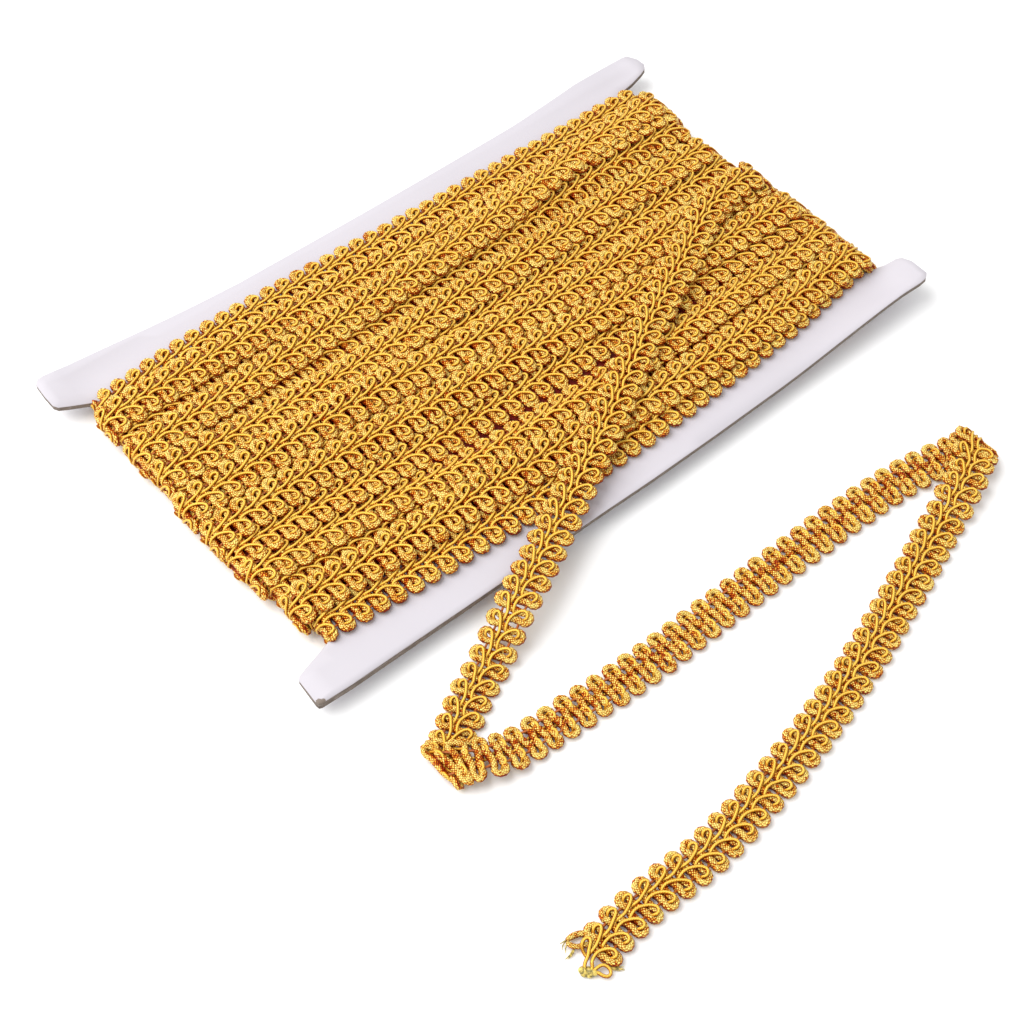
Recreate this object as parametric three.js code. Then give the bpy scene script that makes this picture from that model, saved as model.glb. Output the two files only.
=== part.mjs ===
import * as THREE from 'three';

// Gimp braid trim wound flat on a notched card, with its last turn leaving as a loose tail.
// Millimetres, +Z up. Row, card and tail tables are in the card's own frame: X along the
// long side of the card, Y across it, origin at the middle of the card, Z from the surface
// on which the winding lies.

// Driving sizes of the braid
const BRAID_WIDTH = 15;
const BRAID_THICKNESS = 2.2;
const SCALLOP_PITCH = 6.3;
const SCALLOP_DEPTH = 2;
const FLAT_HALF_WIDTH = 4.6;
const EDGE_ROUNDING = 1;

// Share of its height that a stack of soft braid keeps under the next row
const SETTLED_SHARE = 0.88;

// Crown of a row in the winding: share of its height lost at the edge, and how late it falls
const CROWN_DROP = 0.7;
const CROWN_POWER = 4;

// Driving sizes of the card
const CARD_THICKNESS = 2;
const EAR_INNER_Y = 66;

// Gap that parts lying on each other keep, and the one that the draped tail keeps to edges
const GAP = 0.3;
const DRAPE_CLEARANCE = 2;

// The braid lies two turns deep under the card and two turns deep on it
const LAYERS_UNDER = 2;
const CARD_BOTTOM = LAYERS_UNDER * BRAID_THICKNESS + GAP;
const CARD_TOP = CARD_BOTTOM + CARD_THICKNESS;
const SLOT_BOTTOM = CARD_BOTTOM - GAP;
const SLOT_TOP = CARD_TOP + GAP;

// Places the card's middle so that the part's frame is centred on the whole trim
const CARD_OFFSET = new THREE.Vector3(0.8, 60.2, 0);

// Rows on the upper side in the order in which they were laid, with the Y of the spine at
// seven places along the card
const ROW_STATIONS = [-120, -80, -40, 0, 40, 80, 120];
const ROWS = [
  { row: 'far edge', spine: [57, 60.5, 60.5, 59, 58, 57.5, 55.5] },
  { row: 'under second', spine: [42, 44.5, 43, 41, 39, 38, 38] },
  { row: 'under third', spine: [27, 28, 29, 31.5, 34.3, 36.5, 37.5] },
  { row: 'under fourth', spine: [12.5, 11.5, 10, 5, 3, 7.1, 10] },
  { row: 'under fifth', spine: [-4, -5, -8, -10, -12, -13, -13] },
  { row: 'under eighth', spine: [-38.5, -42, -45, -47, -48, -47, -46] },
  { row: 'near edge', spine: [-58.5, -61, -62.6, -64, -64, -61.5, -56.5] },
  { row: 'second', spine: [49.7, 49.9, 48.6, 46.9, 45, 44, 43.5] },
  { row: 'eighth', spine: [-31.4, -34.6, -40.6, -41.8, -42.2, -40.2, -39.2] },
  { row: 'seventh', spine: [-20.8, -23.8, -26, -27.2, -26.9, -27.3, -28.2] },
  { row: 'third', spine: [31.8, 33.6, 35.5, 37.3, 40.3, 46.3, 49] },
  { row: 'fourth', spine: [18.6, 16.4, 15.6, 18.6, 19.4, 20.3, 19.6] },
  { row: 'sixth', spine: [-11.4, -11.6, -13.6, -15.9, -18.6, -20, -21.5] },
  { row: 'fifth', spine: [3.1, 3.4, 1.9, -1.6, -3.6, -4.5, -6] },
  { row: 'ninth', spine: [-49.6, -51.5, -53.5, -56, -57.6, -56.8, -54.4] },
];

// Long edges of the winding, at the same seven places
const WINDING_EDGES = {
  near: [-65.5, -69.4, -71, -71.6, -70.6, -67.8, -61.8],
  far: [63.4, 66.2, 66.4, 65.2, 64.6, 64.1, 62.6],
};

// The same edges where the turns bend round the card, between its ears
const TURN_EDGES = { left: { near: -63.8, far: 60.2 }, right: { near: -59.7, far: 63.2 } };

// How far each end of the winding bulges past the card's notch, by the Y of the place
const END_REACH = [
  { y: -63, left: -119.8, right: 125.2 },
  { y: -52, left: -121.4, right: 126.2 },
  { y: -39, left: -123.8, right: 126.8 },
  { y: -25, left: -125.6, right: 127.2 },
  { y: -12, left: -126.4, right: 124.6 },
  { y: 4, left: -127.1, right: 124.4 },
  { y: 14, left: -124.9, right: 122 },
  { y: 27, left: -126.8, right: 120.6 },
  { y: 38, left: -126.9, right: 121.8 },
  { y: 46, left: -127.8, right: 122.7 },
  { y: 55, left: -127, right: 121 },
  { y: 63, left: -124.6, right: 117.6 },
];

// Card outline: X of the notches at the ears, the long edges, and the ears with the height
// to which each has curled up
const NOTCH = { farLeft: -120.5, nearLeft: -114.6, farRight: 114.2, nearRight: 119.8 };
const CARD_EDGES = [
  { x: -134.2, near: -80.6, far: 79.6 },
  { x: -108, near: -81.8, far: 78.2 },
  { x: -54, near: -81.9, far: 75.6 },
  { x: 0, near: -81.6, far: 75.4 },
  { x: 60, near: -80.6, far: 76 },
  { x: 104, near: -79.4, far: 77.4 },
  { x: 132.6, near: -79.2, far: 76.6 },
];
const EARS = [
  { ear: 'near left', side: -1, edge: 'near', tipX: -133.4, innerTipY: -70, notchY: -64.2, lift: 0.6 },
  { ear: 'far left', side: -1, edge: 'far', tipX: -135.6, innerTipY: 66.4, notchY: 60.6, lift: 3 },
  { ear: 'near right', side: 1, edge: 'near', tipX: 134, innerTipY: -64.4, notchY: -60.2, lift: 4.6 },
  { ear: 'far right', side: 1, edge: 'far', tipX: 129.6, innerTipY: 66.8, notchY: 63.6, lift: 3.6 },
];

const EAR_ROUNDING = 1.6;

// Where the curl of an ear begins and is whole: along its border, and from its notch edge
const BORDER_CURL = { x: [60, 132], y: [70, 82] };
const TIP_CURL = { x: [120, 134], y: [58, 72] };

// The bend by which the tail comes up round the end of the card
const TAIL_BEND = { centreX: 120, centreZ: 5.2, y: -3.4, reachX: 6.2 };

// Middle line of the tail as it lies, one table for each run between two folds
const TAIL_RUNS = [
  {
    run: 'across the rows and down to the surface',
    facing: 1,
    line: [
      [120, -3.4], [107, -3.6], [97, -5.8], [87, -10.2], [67, -21], [47, -31], [27, -42.6],
      [5, -55.6], [-13, -65.6], [-30, -74.6], [-45, -82.4], [-58, -89], [-69, -94.2],
      [-81.5, -99.8], [-94, -105.6], [-105.5, -111.6], [-114.6, -118],
    ],
  },
  {
    run: 'back along the card',
    facing: -1,
    line: [
      [-114.6, -118], [-107, -124], [-98, -127.4], [-85, -128.4], [-72.4, -129.3], [-46.3, -130.6],
      [-19, -130.5], [9.3, -130], [38.5, -129.7], [53.4, -130], [68.4, -130.9], [83, -133],
      [97.2, -137],
    ],
  },
  {
    run: 'out to the cut end',
    facing: 1,
    line: [
      [97.2, -137], [88.5, -143], [73.5, -149.1], [58.2, -154.6], [43.2, -160.3], [14.4, -170.5],
      [-13.2, -178.9], [-46.3, -186.3], [-71.8, -190.1], [-96.9, -190.3], [-109, -191.2],
      [-117.4, -192.6],
    ],
  },
];
const FOLDS = [
  { fold: 'left', crease: [0.054, -0.9985], outward: [-0.9985, -0.054] },
  { fold: 'right', crease: [0.056, -0.9984], outward: [0.9984, 0.056] },
];

// Length over which the braid turns square to a crease, and over which it sinks from a height
const CREASE_TURN_LENGTH = 12;
const DRAPE_REACH = 12;
const OVERLAP_REACH = 6;

// Cut end: the bound spine runs on past the scallops and turns aside
const CUT_END = [
  { x: -119.6, y: -193.6, halfWidth: 2.6, thickness: 1.8 },
  { x: -121.8, y: -195.6, halfWidth: 2.1, thickness: 1.6 },
  { x: -122.9, y: -198, halfWidth: 1.8, thickness: 1.4 },
];

// Sampling of the solids
const HALF_LENGTH = 117;
const TOP_STEPS = Math.round((2 * HALF_LENGTH) / (SCALLOP_PITCH / 2));
const SPLINE_SAMPLES = 96;
const HEIGHT_STEP = 1.5;
const HEIGHT_SPAN = [-78, 72];
const WINDING_COLUMNS = 44;
const BEND_STEPS = 5;
const FOLD_STEPS = 5;
const UNDERSIDE_STEPS = 14;
const SLOT_BULGE = 0.5;
const CARD_LINES = [-104, -78, -52, -26, 0, 26, 52, 78, 104];
const EAR_SHARES = [0.35, 0.7, 1];
const ROW_SUPPORTS = [-0.75, -0.25, 0.25, 0.75];
const TAIL_SUPPORTS = [-1, -0.75, -0.5, -0.25, 0, 0.25, 0.5, 0.75, 1];

const COLOURS = { braid: 0xd9a32c, card: 0xe5dfe7 };

function clampedLerp(stations, values, x) {
  if (x <= stations[0]) return values[0];
  const last = stations.length - 1;
  if (x >= stations[last]) return values[last];
  const next = stations.findIndex((station) => station > x);
  const share = (x - stations[next - 1]) / (stations[next] - stations[next - 1]);
  return THREE.MathUtils.lerp(values[next - 1], values[next], share);
}

// Smooth line through a row's seven places
function rowSpline(values) {
  const points = ROW_STATIONS.map((x, i) => new THREE.Vector3(x, values[i], 0));
  const curve = new THREE.CatmullRomCurve3(points, false, 'centripetal');
  const samples = curve.getPoints(SPLINE_SAMPLES);
  const xs = samples.map((p) => p.x);
  const ys = samples.map((p) => p.y);
  return (x) => clampedLerp(xs, ys, x);
}

// X of the notch in one end of the card, which leans a little
function notchX(side, y) {
  const near = side < 0 ? NOTCH.nearLeft : NOTCH.nearRight;
  const far = side < 0 ? NOTCH.farLeft : NOTCH.farRight;
  return THREE.MathUtils.mapLinear(y, -EAR_INNER_Y, EAR_INNER_Y, near, far);
}

// End of the slot that the winding leaves for the card
function slotX(side, y) {
  return notchX(side, y) + side * GAP;
}

// Grid of heights on which rows settle one after another: a column for every half pitch of
// the scallops from one end of the slot to the other, a line for every step across
function makeHeightGrid() {
  const columns = TOP_STEPS + 1;
  const lines = Math.round((HEIGHT_SPAN[1] - HEIGHT_SPAN[0]) / HEIGHT_STEP) + 1;
  const heights = new Float64Array(columns * lines).fill(SLOT_TOP);
  const at = (i, j) => heights[i * lines + j];
  const raise = (i, j, z) => {
    heights[i * lines + j] = Math.max(at(i, j), z);
  };
  const sample = (x, y) => {
    const share = (x - slotX(-1, y)) / (slotX(1, y) - slotX(-1, y));
    const u = THREE.MathUtils.clamp(share * TOP_STEPS, 0, columns - 1);
    const v = THREE.MathUtils.clamp((y - HEIGHT_SPAN[0]) / HEIGHT_STEP, 0, lines - 1);
    const i = Math.min(Math.floor(u), columns - 2);
    const j = Math.min(Math.floor(v), lines - 2);
    const low = THREE.MathUtils.lerp(at(i, j), at(i, j + 1), v - j);
    const high = THREE.MathUtils.lerp(at(i + 1, j), at(i + 1, j + 1), v - j);
    return THREE.MathUtils.lerp(low, high, u - i);
  };
  return { columns, lines, raise, sample };
}

// Crown of one braid: flat in the middle and rounded off at its scallops
function crown(across, half) {
  return BRAID_THICKNESS * (1 - CROWN_DROP * (Math.abs(across) / half) ** CROWN_POWER);
}

// Lays a row on what is already there: it bridges the hollows below it, as a stiff trim does
function layRow(grid, spineAt) {
  const half = BRAID_WIDTH / 2;
  const raised = [];
  for (let i = 0; i < grid.columns; i += 1) {
    const guideX = THREE.MathUtils.lerp(-HALF_LENGTH, HALF_LENGTH, i / TOP_STEPS);
    const spine = spineAt(guideX);
    const x = THREE.MathUtils.lerp(slotX(-1, spine), slotX(1, spine), i / TOP_STEPS);
    const under = ROW_SUPPORTS.map((share) => grid.sample(x, spine + share * half));
    const middle = (under[1] + under[2]) / 2;
    const tilt = (under[3] + under[2] - under[1] - under[0]) / 4;
    const stack = Math.max(middle, (under[0] + under[3]) / 2) - SLOT_TOP;
    raised.push({ spine, base: SLOT_TOP + SETTLED_SHARE * stack, tilt });
  }
  raised.forEach(({ spine, base, tilt }, i) => {
    const atHead = i % 2 === 0;
    for (let j = 0; j < grid.lines; j += 1) {
      const across = HEIGHT_SPAN[0] + j * HEIGHT_STEP - spine;
      const edge = half - (atHead === across > 0 ? 0 : SCALLOP_DEPTH);
      if (Math.abs(across) > edge) continue;
      grid.raise(i, j, base + tilt * (across / half) + crown(across, edge));
    }
  });
}

function settleRows() {
  const grid = makeHeightGrid();
  ROWS.forEach(({ spine }) => layRow(grid, rowSpline(spine)));
  return grid;
}

// Closed mesh from shared points and faces given as point numbers
function solid(points, faces) {
  const geometry = new THREE.BufferGeometry();
  geometry.setAttribute('position', new THREE.Float32BufferAttribute(points.flat(), 3));
  geometry.setIndex(faces.flat());
  geometry.computeVertexNormals();
  return geometry;
}

// The two triangles of a quad, its corners counter-clockwise seen from outside
function quad(a, b, c, d) {
  return [a, b, c, a, c, d];
}

function endReach(side, y) {
  const key = side < 0 ? 'left' : 'right';
  return clampedLerp(END_REACH.map((place) => place.y), END_REACH.map((place) => place[key]), y);
}

// Winding: a flattened ring round the card, ridged by its rows above, flat below
function makeWinding(grid) {
  const nearAt = rowSpline(WINDING_EDGES.near);
  const farAt = rowSpline(WINDING_EDGES.far);
  const stations = [];
  for (let k = 0; k <= TOP_STEPS; k += 1) {
    stations.push({ part: 'top', share: k / TOP_STEPS, notched: k % 2 === 1 });
  }
  for (let k = 1; k < BEND_STEPS; k += 1) stations.push({ part: 'right', share: k / BEND_STEPS });
  for (let k = 0; k <= UNDERSIDE_STEPS; k += 1) {
    stations.push({ part: 'under', share: 1 - k / UNDERSIDE_STEPS });
  }
  for (let k = 1; k < BEND_STEPS; k += 1) stations.push({ part: 'left', share: 1 - k / BEND_STEPS });

  // Outer and inner point of one station at one share of the way from near to far edge
  function place(station, acrossShare) {
    const turn = station.part === 'left' || station.part === 'right';
    const side = station.part === 'left' ? -1 : 1;
    const guideX = turn ? side * HALF_LENGTH : HALF_LENGTH * (2 * station.share - 1);
    const isEdge = acrossShare === 0 || acrossShare === 1;
    const trim = isEdge && station.notched ? SCALLOP_DEPTH : 0;
    const atTurn = turn || station.share === 0 || station.share === 1;
    const limits = TURN_EDGES[guideX < 0 ? 'left' : 'right'];
    const near = atTurn ? limits.near : nearAt(guideX);
    const far = atTurn ? limits.far : farAt(guideX);
    const y = THREE.MathUtils.lerp(near, far, acrossShare) + (acrossShare === 0 ? trim : -trim);
    const left = slotX(-1, y);
    const right = slotX(1, y);
    const flatX = THREE.MathUtils.lerp(left, right, station.share);
    const topAt = (x) => Math.max(
      grid.sample(x, y) - (isEdge ? EDGE_ROUNDING : 0),
      SLOT_TOP + BRAID_THICKNESS / 2,
    );
    if (station.part === 'top') {
      return { outer: [flatX, y, topAt(flatX)], inner: [flatX, y, SLOT_TOP] };
    }
    if (station.part === 'under') {
      return { outer: [flatX, y, 0], inner: [flatX, y, SLOT_BOTTOM] };
    }
    const startX = side < 0 ? left : right;
    const angle = Math.PI * station.share;
    const bulge = Math.abs(endReach(side, y) - startX);
    const outerX = startX + side * bulge * Math.sin(angle);
    const outer = [outerX, y, (topAt(startX) / 2) * (1 + Math.cos(angle))];
    const innerX = startX + side * SLOT_BULGE * Math.sin(angle);
    return { outer, inner: [innerX, y, THREE.MathUtils.lerp(SLOT_TOP, SLOT_BOTTOM, station.share)] };
  }

  const points = [];
  const faces = [];
  const outer = [];
  for (let column = 0; column <= WINDING_COLUMNS; column += 1) {
    outer.push(stations.map((station) => {
      points.push(place(station, column / WINDING_COLUMNS).outer);
      return points.length - 1;
    }));
  }
  const inner = [0, 1].map((acrossShare) => stations.map((station) => {
    points.push(place(station, acrossShare).inner);
    return points.length - 1;
  }));
  stations.forEach((station, k) => {
    const next = (k + 1) % stations.length;
    for (let column = 0; column < WINDING_COLUMNS; column += 1) {
      const near = outer[column];
      const far = outer[column + 1];
      faces.push(quad(near[k], near[next], far[next], far[k]));
    }
    faces.push(quad(inner[0][next], inner[0][k], inner[1][k], inner[1][next]));
    faces.push(quad(outer[0][next], outer[0][k], inner[0][k], inner[0][next]));
    faces.push(quad(outer[WINDING_COLUMNS][k], outer[WINDING_COLUMNS][next], inner[1][next], inner[1][k]));
  });
  return solid(points, faces);
}

// Card: middle part and four ears as one board of cells, its ears sprung up a little
function makeCard() {
  const points = [];
  const faces = [];
  const stationXs = CARD_EDGES.map((place) => place.x);
  const edgeAt = (key, x) => clampedLerp(stationXs, CARD_EDGES.map((place) => place[key]), x);
  const ears = Object.fromEntries(EARS.map((ear) => [ear.ear, ear]));

  // How much an ear lifts a place: nothing along the winding, most at the ear's tip
  function liftAt(x, y) {
    const edge = y < 0 ? 'near' : 'far';
    const side = x < 0 ? 'left' : 'right';
    const ear = ears[`${edge} ${side}`];
    const curl = (range) => THREE.MathUtils.smoothstep(Math.abs(x), ...range.x)
      * THREE.MathUtils.smoothstep(Math.abs(y), ...range.y);
    return ear.lift * Math.max(curl(BORDER_CURL), curl(TIP_CURL));
  }

  function addPair(x, y) {
    const lift = liftAt(x, y);
    points.push([x, y, CARD_TOP + lift], [x, y, CARD_BOTTOM + lift]);
    return points.length - 2;
  }

  // One line of pairs across the card, from its near edge to its far edge
  function middleLine(x, side) {
    const nearInner = side ? ears[side < 0 ? 'near left' : 'near right'].notchY : -EAR_INNER_Y;
    const farInner = side ? ears[side < 0 ? 'far left' : 'far right'].notchY : EAR_INNER_Y;
    const near = edgeAt('near', x ?? notchX(side, nearInner));
    const far = edgeAt('far', x ?? notchX(side, farInner));
    const ys = [near, (near + nearInner) / 2, nearInner, 0, farInner, (far + farInner) / 2, far];
    return ys.map((y) => addPair(x ?? notchX(side, y), y));
  }

  // One line of pairs across an ear, from its outer edge to its notch edge
  function earLine(ear, share) {
    const startX = notchX(ear.side, ear.notchY);
    const innerY = THREE.MathUtils.lerp(ear.notchY, ear.innerTipY, share);
    const x = THREE.MathUtils.lerp(startX, ear.tipX, share);
    const outerY = edgeAt(ear.edge, x);
    const outerX = x - (share === 1 ? ear.side * EAR_ROUNDING : 0);
    return [addPair(outerX, outerY), addPair(x, (outerY + innerY) / 2), addPair(x, innerY)];
  }

  // Cell between two lines: its top and its bottom
  function addCell(a, b, c, d) {
    faces.push(quad(a, b, c, d), quad(d + 1, c + 1, b + 1, a + 1));
  }

  // Wall under an outline that runs with the card on its left
  function addWall(outline) {
    for (let k = 0; k + 1 < outline.length; k += 1) {
      const a = outline[k];
      const b = outline[k + 1];
      faces.push(quad(a + 1, b + 1, b, a));
    }
  }

  const lines = [
    middleLine(null, -1),
    ...CARD_LINES.map((x) => middleLine(x, 0)),
    middleLine(null, 1),
  ];
  for (let i = 0; i + 1 < lines.length; i += 1) {
    for (let j = 0; j < 6; j += 1) {
      addCell(lines[i][j], lines[i + 1][j], lines[i + 1][j + 1], lines[i][j + 1]);
    }
  }

  const first = lines[0];
  const last = lines[lines.length - 1];
  const earLines = Object.fromEntries(EARS.map((ear) => {
    const root = ear.side < 0 ? first : last;
    const start = ear.edge === 'near' ? root.slice(0, 3) : root.slice(4).reverse();
    return [ear.ear, [start, ...EAR_SHARES.map((share) => earLine(ear, share))]];
  }));
  EARS.forEach((ear) => {
    const own = earLines[ear.ear];
    const mirrored = (ear.side > 0) !== (ear.edge === 'near');
    for (let i = 0; i + 1 < own.length; i += 1) {
      for (let j = 0; j < 2; j += 1) {
        const corners = [own[i][j], own[i + 1][j], own[i + 1][j + 1], own[i][j + 1]];
        if (mirrored) corners.reverse();
        addCell(...corners);
      }
    }
  });

  const outer = (name) => earLines[name].map((line) => line[0]);
  const notch = (name) => earLines[name].map((line) => line[2]);
  const tip = (name) => earLines[name][earLines[name].length - 1];
  addWall([
    ...outer('near left').reverse(),
    ...lines.slice(1, -1).map((line) => line[0]),
    ...outer('near right'),
    ...tip('near right').slice(1),
    ...notch('near right').reverse().slice(1),
    last[3],
    ...notch('far right'),
    ...tip('far right').slice(0, 2).reverse(),
    ...outer('far right').reverse().slice(1),
    ...lines.slice(1, -1).map((line) => line[6]).reverse(),
    ...outer('far left'),
    ...tip('far left').slice(1),
    ...notch('far left').reverse().slice(1),
    first[3],
    ...notch('near left'),
    ...tip('near left').slice(0, 2).reverse(),
  ]);
  return solid(points, faces);
}

// Height of what lies under the tail: rows, then the card's border, then the bare surface
function supportHeight(grid, x, y) {
  const places = CARD_EDGES.map((place) => place.x);
  const cardEdge = clampedLerp(places, CARD_EDGES.map((place) => place.near), x);
  if (y > rowSpline(WINDING_EDGES.near)(x) - GAP) return grid.sample(x, y) + GAP;
  if (y > cardEdge - DRAPE_CLEARANCE) return CARD_TOP + DRAPE_CLEARANCE;
  return 0;
}

function tailCurve(line) {
  const points = line.map(([x, y]) => new THREE.Vector3(x, y, 0));
  return new THREE.CatmullRomCurve3(points, false, 'centripetal');
}

// Greatest value within reach of each station, then the mean of those: a smooth line that
// stays above everything it was given
function drapeOver(values, reach) {
  const within = (list, i) => list.slice(Math.max(0, i - reach), i + reach + 1);
  const greatest = values.map((_, i) => Math.max(...within(values, i)));
  return greatest.map((_, i) => {
    const near = within(greatest, i);
    return near.reduce((sum, value) => sum + value, 0) / near.length;
  });
}

// Turns the direction across the braid into that of a crease, more so the nearer it is
function turnToCrease(across, ahead, fold, distance) {
  if (!fold) return;
  const crease = new THREE.Vector3(...fold.crease, 0);
  const stretch = 1 / Math.abs(crease.x * ahead.y - crease.y * ahead.x);
  const share = 1 - THREE.MathUtils.smoothstep(distance, 0, CREASE_TURN_LENGTH);
  across.lerp(crease.multiplyScalar(stretch), share);
}

// Whether a place lies over the braid of the run below
function liesOver(run, place) {
  const distances = run.map(({ point }) => Math.hypot(point.x - place.x, point.y - place.y));
  return Math.min(...distances) < BRAID_WIDTH / 2 + DRAPE_CLEARANCE;
}

// Stations of one run: middle of the underside, direction across the braid, way it faces
function runStations(grid, index, lowerRun) {
  const { line, facing } = TAIL_RUNS[index];
  const curve = tailCurve(line);
  const length = curve.getLength();
  const steps = Math.round(length / (SCALLOP_PITCH / 2));
  const step = length / steps;
  const stations = [];
  for (let k = 0; k <= steps; k += 1) {
    const point = curve.getPointAt(k / steps);
    const ahead = curve.getTangentAt(k / steps);
    const across = new THREE.Vector3(-ahead.y, ahead.x, 0).multiplyScalar(facing);
    turnToCrease(across, ahead, FOLDS[index - 1], k * step);
    turnToCrease(across, ahead, FOLDS[index], (steps - k) * step);
    stations.push({ point, across, facing });
  }
  const supports = stations.map(({ point, across }) => {
    const under = TAIL_SUPPORTS.map((share) => {
      const place = point.clone().addScaledVector(across, (share * BRAID_WIDTH) / 2);
      if (!lowerRun) return supportHeight(grid, place.x, place.y);
      return liesOver(lowerRun, place) ? BRAID_THICKNESS + GAP : 0;
    });
    return Math.max(...under);
  });
  const reach = lowerRun ? OVERLAP_REACH : DRAPE_REACH;
  const heights = drapeOver(supports, Math.round(reach / step));
  stations.forEach((station, k) => {
    station.point.z = heights[k];
  });
  return stations;
}

// Arc of a fold: the braid turns over about its crease on to the run below
function foldStations(fold, before) {
  const outward = new THREE.Vector3(...fold.outward, 0);
  const radius = (BRAID_THICKNESS + GAP) / 2;
  const axis = before.point.clone();
  axis.z += BRAID_THICKNESS / 2 + radius;
  const stations = [];
  for (let k = 1; k < FOLD_STEPS; k += 1) {
    const angle = (Math.PI * k) / FOLD_STEPS;
    const middle = axis.clone().addScaledVector(outward, radius * Math.sin(angle));
    middle.z -= radius * Math.cos(angle);
    const away = outward.clone().multiplyScalar(Math.sin(angle));
    away.z = -Math.cos(angle);
    stations.push({ middle, across: before.across.clone(), front: away.multiplyScalar(-before.facing) });
  }
  return stations;
}

// Section of the braid at a station: two pointed edges between two flat faces
function sectionPoints({ across, front, middle, thickness }, [leftEdge, rightEdge]) {
  const half = thickness / 2;
  const flat = Math.min(FLAT_HALF_WIDTH, leftEdge - EDGE_ROUNDING, rightEdge - EDGE_ROUNDING);
  const outline = [
    [leftEdge, 0],
    [flat, half],
    [-flat, half],
    [-rightEdge, 0],
    [-flat, -half],
    [flat, -half],
  ];
  return outline.map(([side, height]) => middle.clone()
    .addScaledVector(across, side)
    .addScaledVector(front, height)
    .toArray());
}

// Stations of the bend by which the tail comes up round the end of the card
function bendStations(first) {
  const reachZ = first.middle.z - TAIL_BEND.centreZ;
  const stations = [];
  for (let k = 0; k < BEND_STEPS; k += 1) {
    const angle = (Math.PI / 2) * (k / BEND_STEPS);
    const middle = new THREE.Vector3(
      TAIL_BEND.centreX + TAIL_BEND.reachX * Math.cos(angle),
      TAIL_BEND.y,
      TAIL_BEND.centreZ + reachZ * Math.sin(angle),
    );
    const front = new THREE.Vector3(Math.cos(angle), 0, Math.sin(angle));
    stations.push({ middle, across: first.across.clone(), front, thickness: BRAID_THICKNESS });
  }
  return stations;
}

function makeTail(grid) {
  const stations = [];
  const up = new THREE.Vector3(0, 0, 1);
  let lowerRun = null;
  TAIL_RUNS.forEach((run, index) => {
    const own = runStations(grid, index, lowerRun);
    lowerRun = own;
    own.forEach((station) => {
      const middle = station.point.clone();
      middle.z += BRAID_THICKNESS / 2;
      stations.push({
        middle,
        across: station.across,
        front: up.clone().multiplyScalar(station.facing),
        thickness: BRAID_THICKNESS,
      });
    });
    if (index < FOLDS.length) {
      const arc = foldStations(FOLDS[index], own[own.length - 1]);
      arc.forEach((station) => stations.push({ ...station, thickness: BRAID_THICKNESS }));
    }
  });
  stations.unshift(...bendStations(stations[0]));

  // Heads of the scallops stand opposite the gaps of the other edge
  const head = BRAID_WIDTH / 2;
  const between = head - SCALLOP_DEPTH;
  const widths = stations.map((_, k) => (k % 2 ? [between, head] : [head, between]));
  const lastAcross = stations[stations.length - 1].across;
  CUT_END.forEach(({ x, y, halfWidth, thickness }) => {
    const middle = new THREE.Vector3(x, y, thickness / 2);
    stations.push({ middle, across: lastAcross.clone(), front: up.clone(), thickness });
    widths.push([halfWidth, halfWidth]);
  });

  const points = [];
  const faces = [];
  const rings = stations.map((station, k) => sectionPoints(station, widths[k]).map((point) => {
    points.push(point);
    return points.length - 1;
  }));
  const count = rings[0].length;
  for (let k = 0; k + 1 < rings.length; k += 1) {
    for (let j = 0; j < count; j += 1) {
      const next = (j + 1) % count;
      faces.push(quad(rings[k][j], rings[k][next], rings[k + 1][next], rings[k + 1][j]));
    }
  }
  const start = rings[0];
  const end = rings[rings.length - 1];
  for (let j = 1; j + 1 < count; j += 1) {
    faces.push([start[0], start[j + 1], start[j]]);
    faces.push([end[0], end[j], end[j + 1]]);
  }
  return solid(points, faces);
}

function named(name, geometry, material) {
  const mesh = new THREE.Mesh(geometry, material);
  mesh.name = name;
  return mesh;
}

const braidMaterial = new THREE.MeshStandardMaterial({
  color: COLOURS.braid,
  roughness: 0.45,
  metalness: 0.55,
});
const cardMaterial = new THREE.MeshStandardMaterial({
  color: COLOURS.card,
  roughness: 0.8,
  metalness: 0,
});

const settled = settleRows();
const trim = new THREE.Group();
trim.position.copy(CARD_OFFSET);
trim.add(named('card', makeCard(), cardMaterial));
trim.add(named('winding', makeWinding(settled), braidMaterial));
trim.add(named('tail', makeTail(settled), braidMaterial));

const part = new THREE.Group();
part.add(trim);

export default part;
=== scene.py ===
"""Gimp braid trim wound on a card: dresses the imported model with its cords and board.

The braid has two cords. A thick crinkled metallic cord swings from side to side and forms
the round scallops, and a thin satin cord runs along each side and forms a hooked leaf for
every scallop. Both follow each row of the winding and the loose tail.
"""

import math

import bpy
import numpy as np
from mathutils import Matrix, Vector
from mathutils.geometry import delaunay_2d_cdt


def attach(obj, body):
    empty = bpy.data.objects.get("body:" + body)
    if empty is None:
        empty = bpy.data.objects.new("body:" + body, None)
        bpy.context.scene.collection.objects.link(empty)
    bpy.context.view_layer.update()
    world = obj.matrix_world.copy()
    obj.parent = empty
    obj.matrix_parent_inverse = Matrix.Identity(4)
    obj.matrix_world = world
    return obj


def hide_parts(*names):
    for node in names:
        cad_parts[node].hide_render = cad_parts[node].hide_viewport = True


bl_info = {
    "name": "Gimp braid trim on a card",
    "version": (1, 0, 0),
    "blender": (4, 5, 0),
    "location": "3D View > Sidebar > Braid trim",
    "description": "Builds a scalloped gimp braid wound on a notched card",
    "category": "Object",
}

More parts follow.
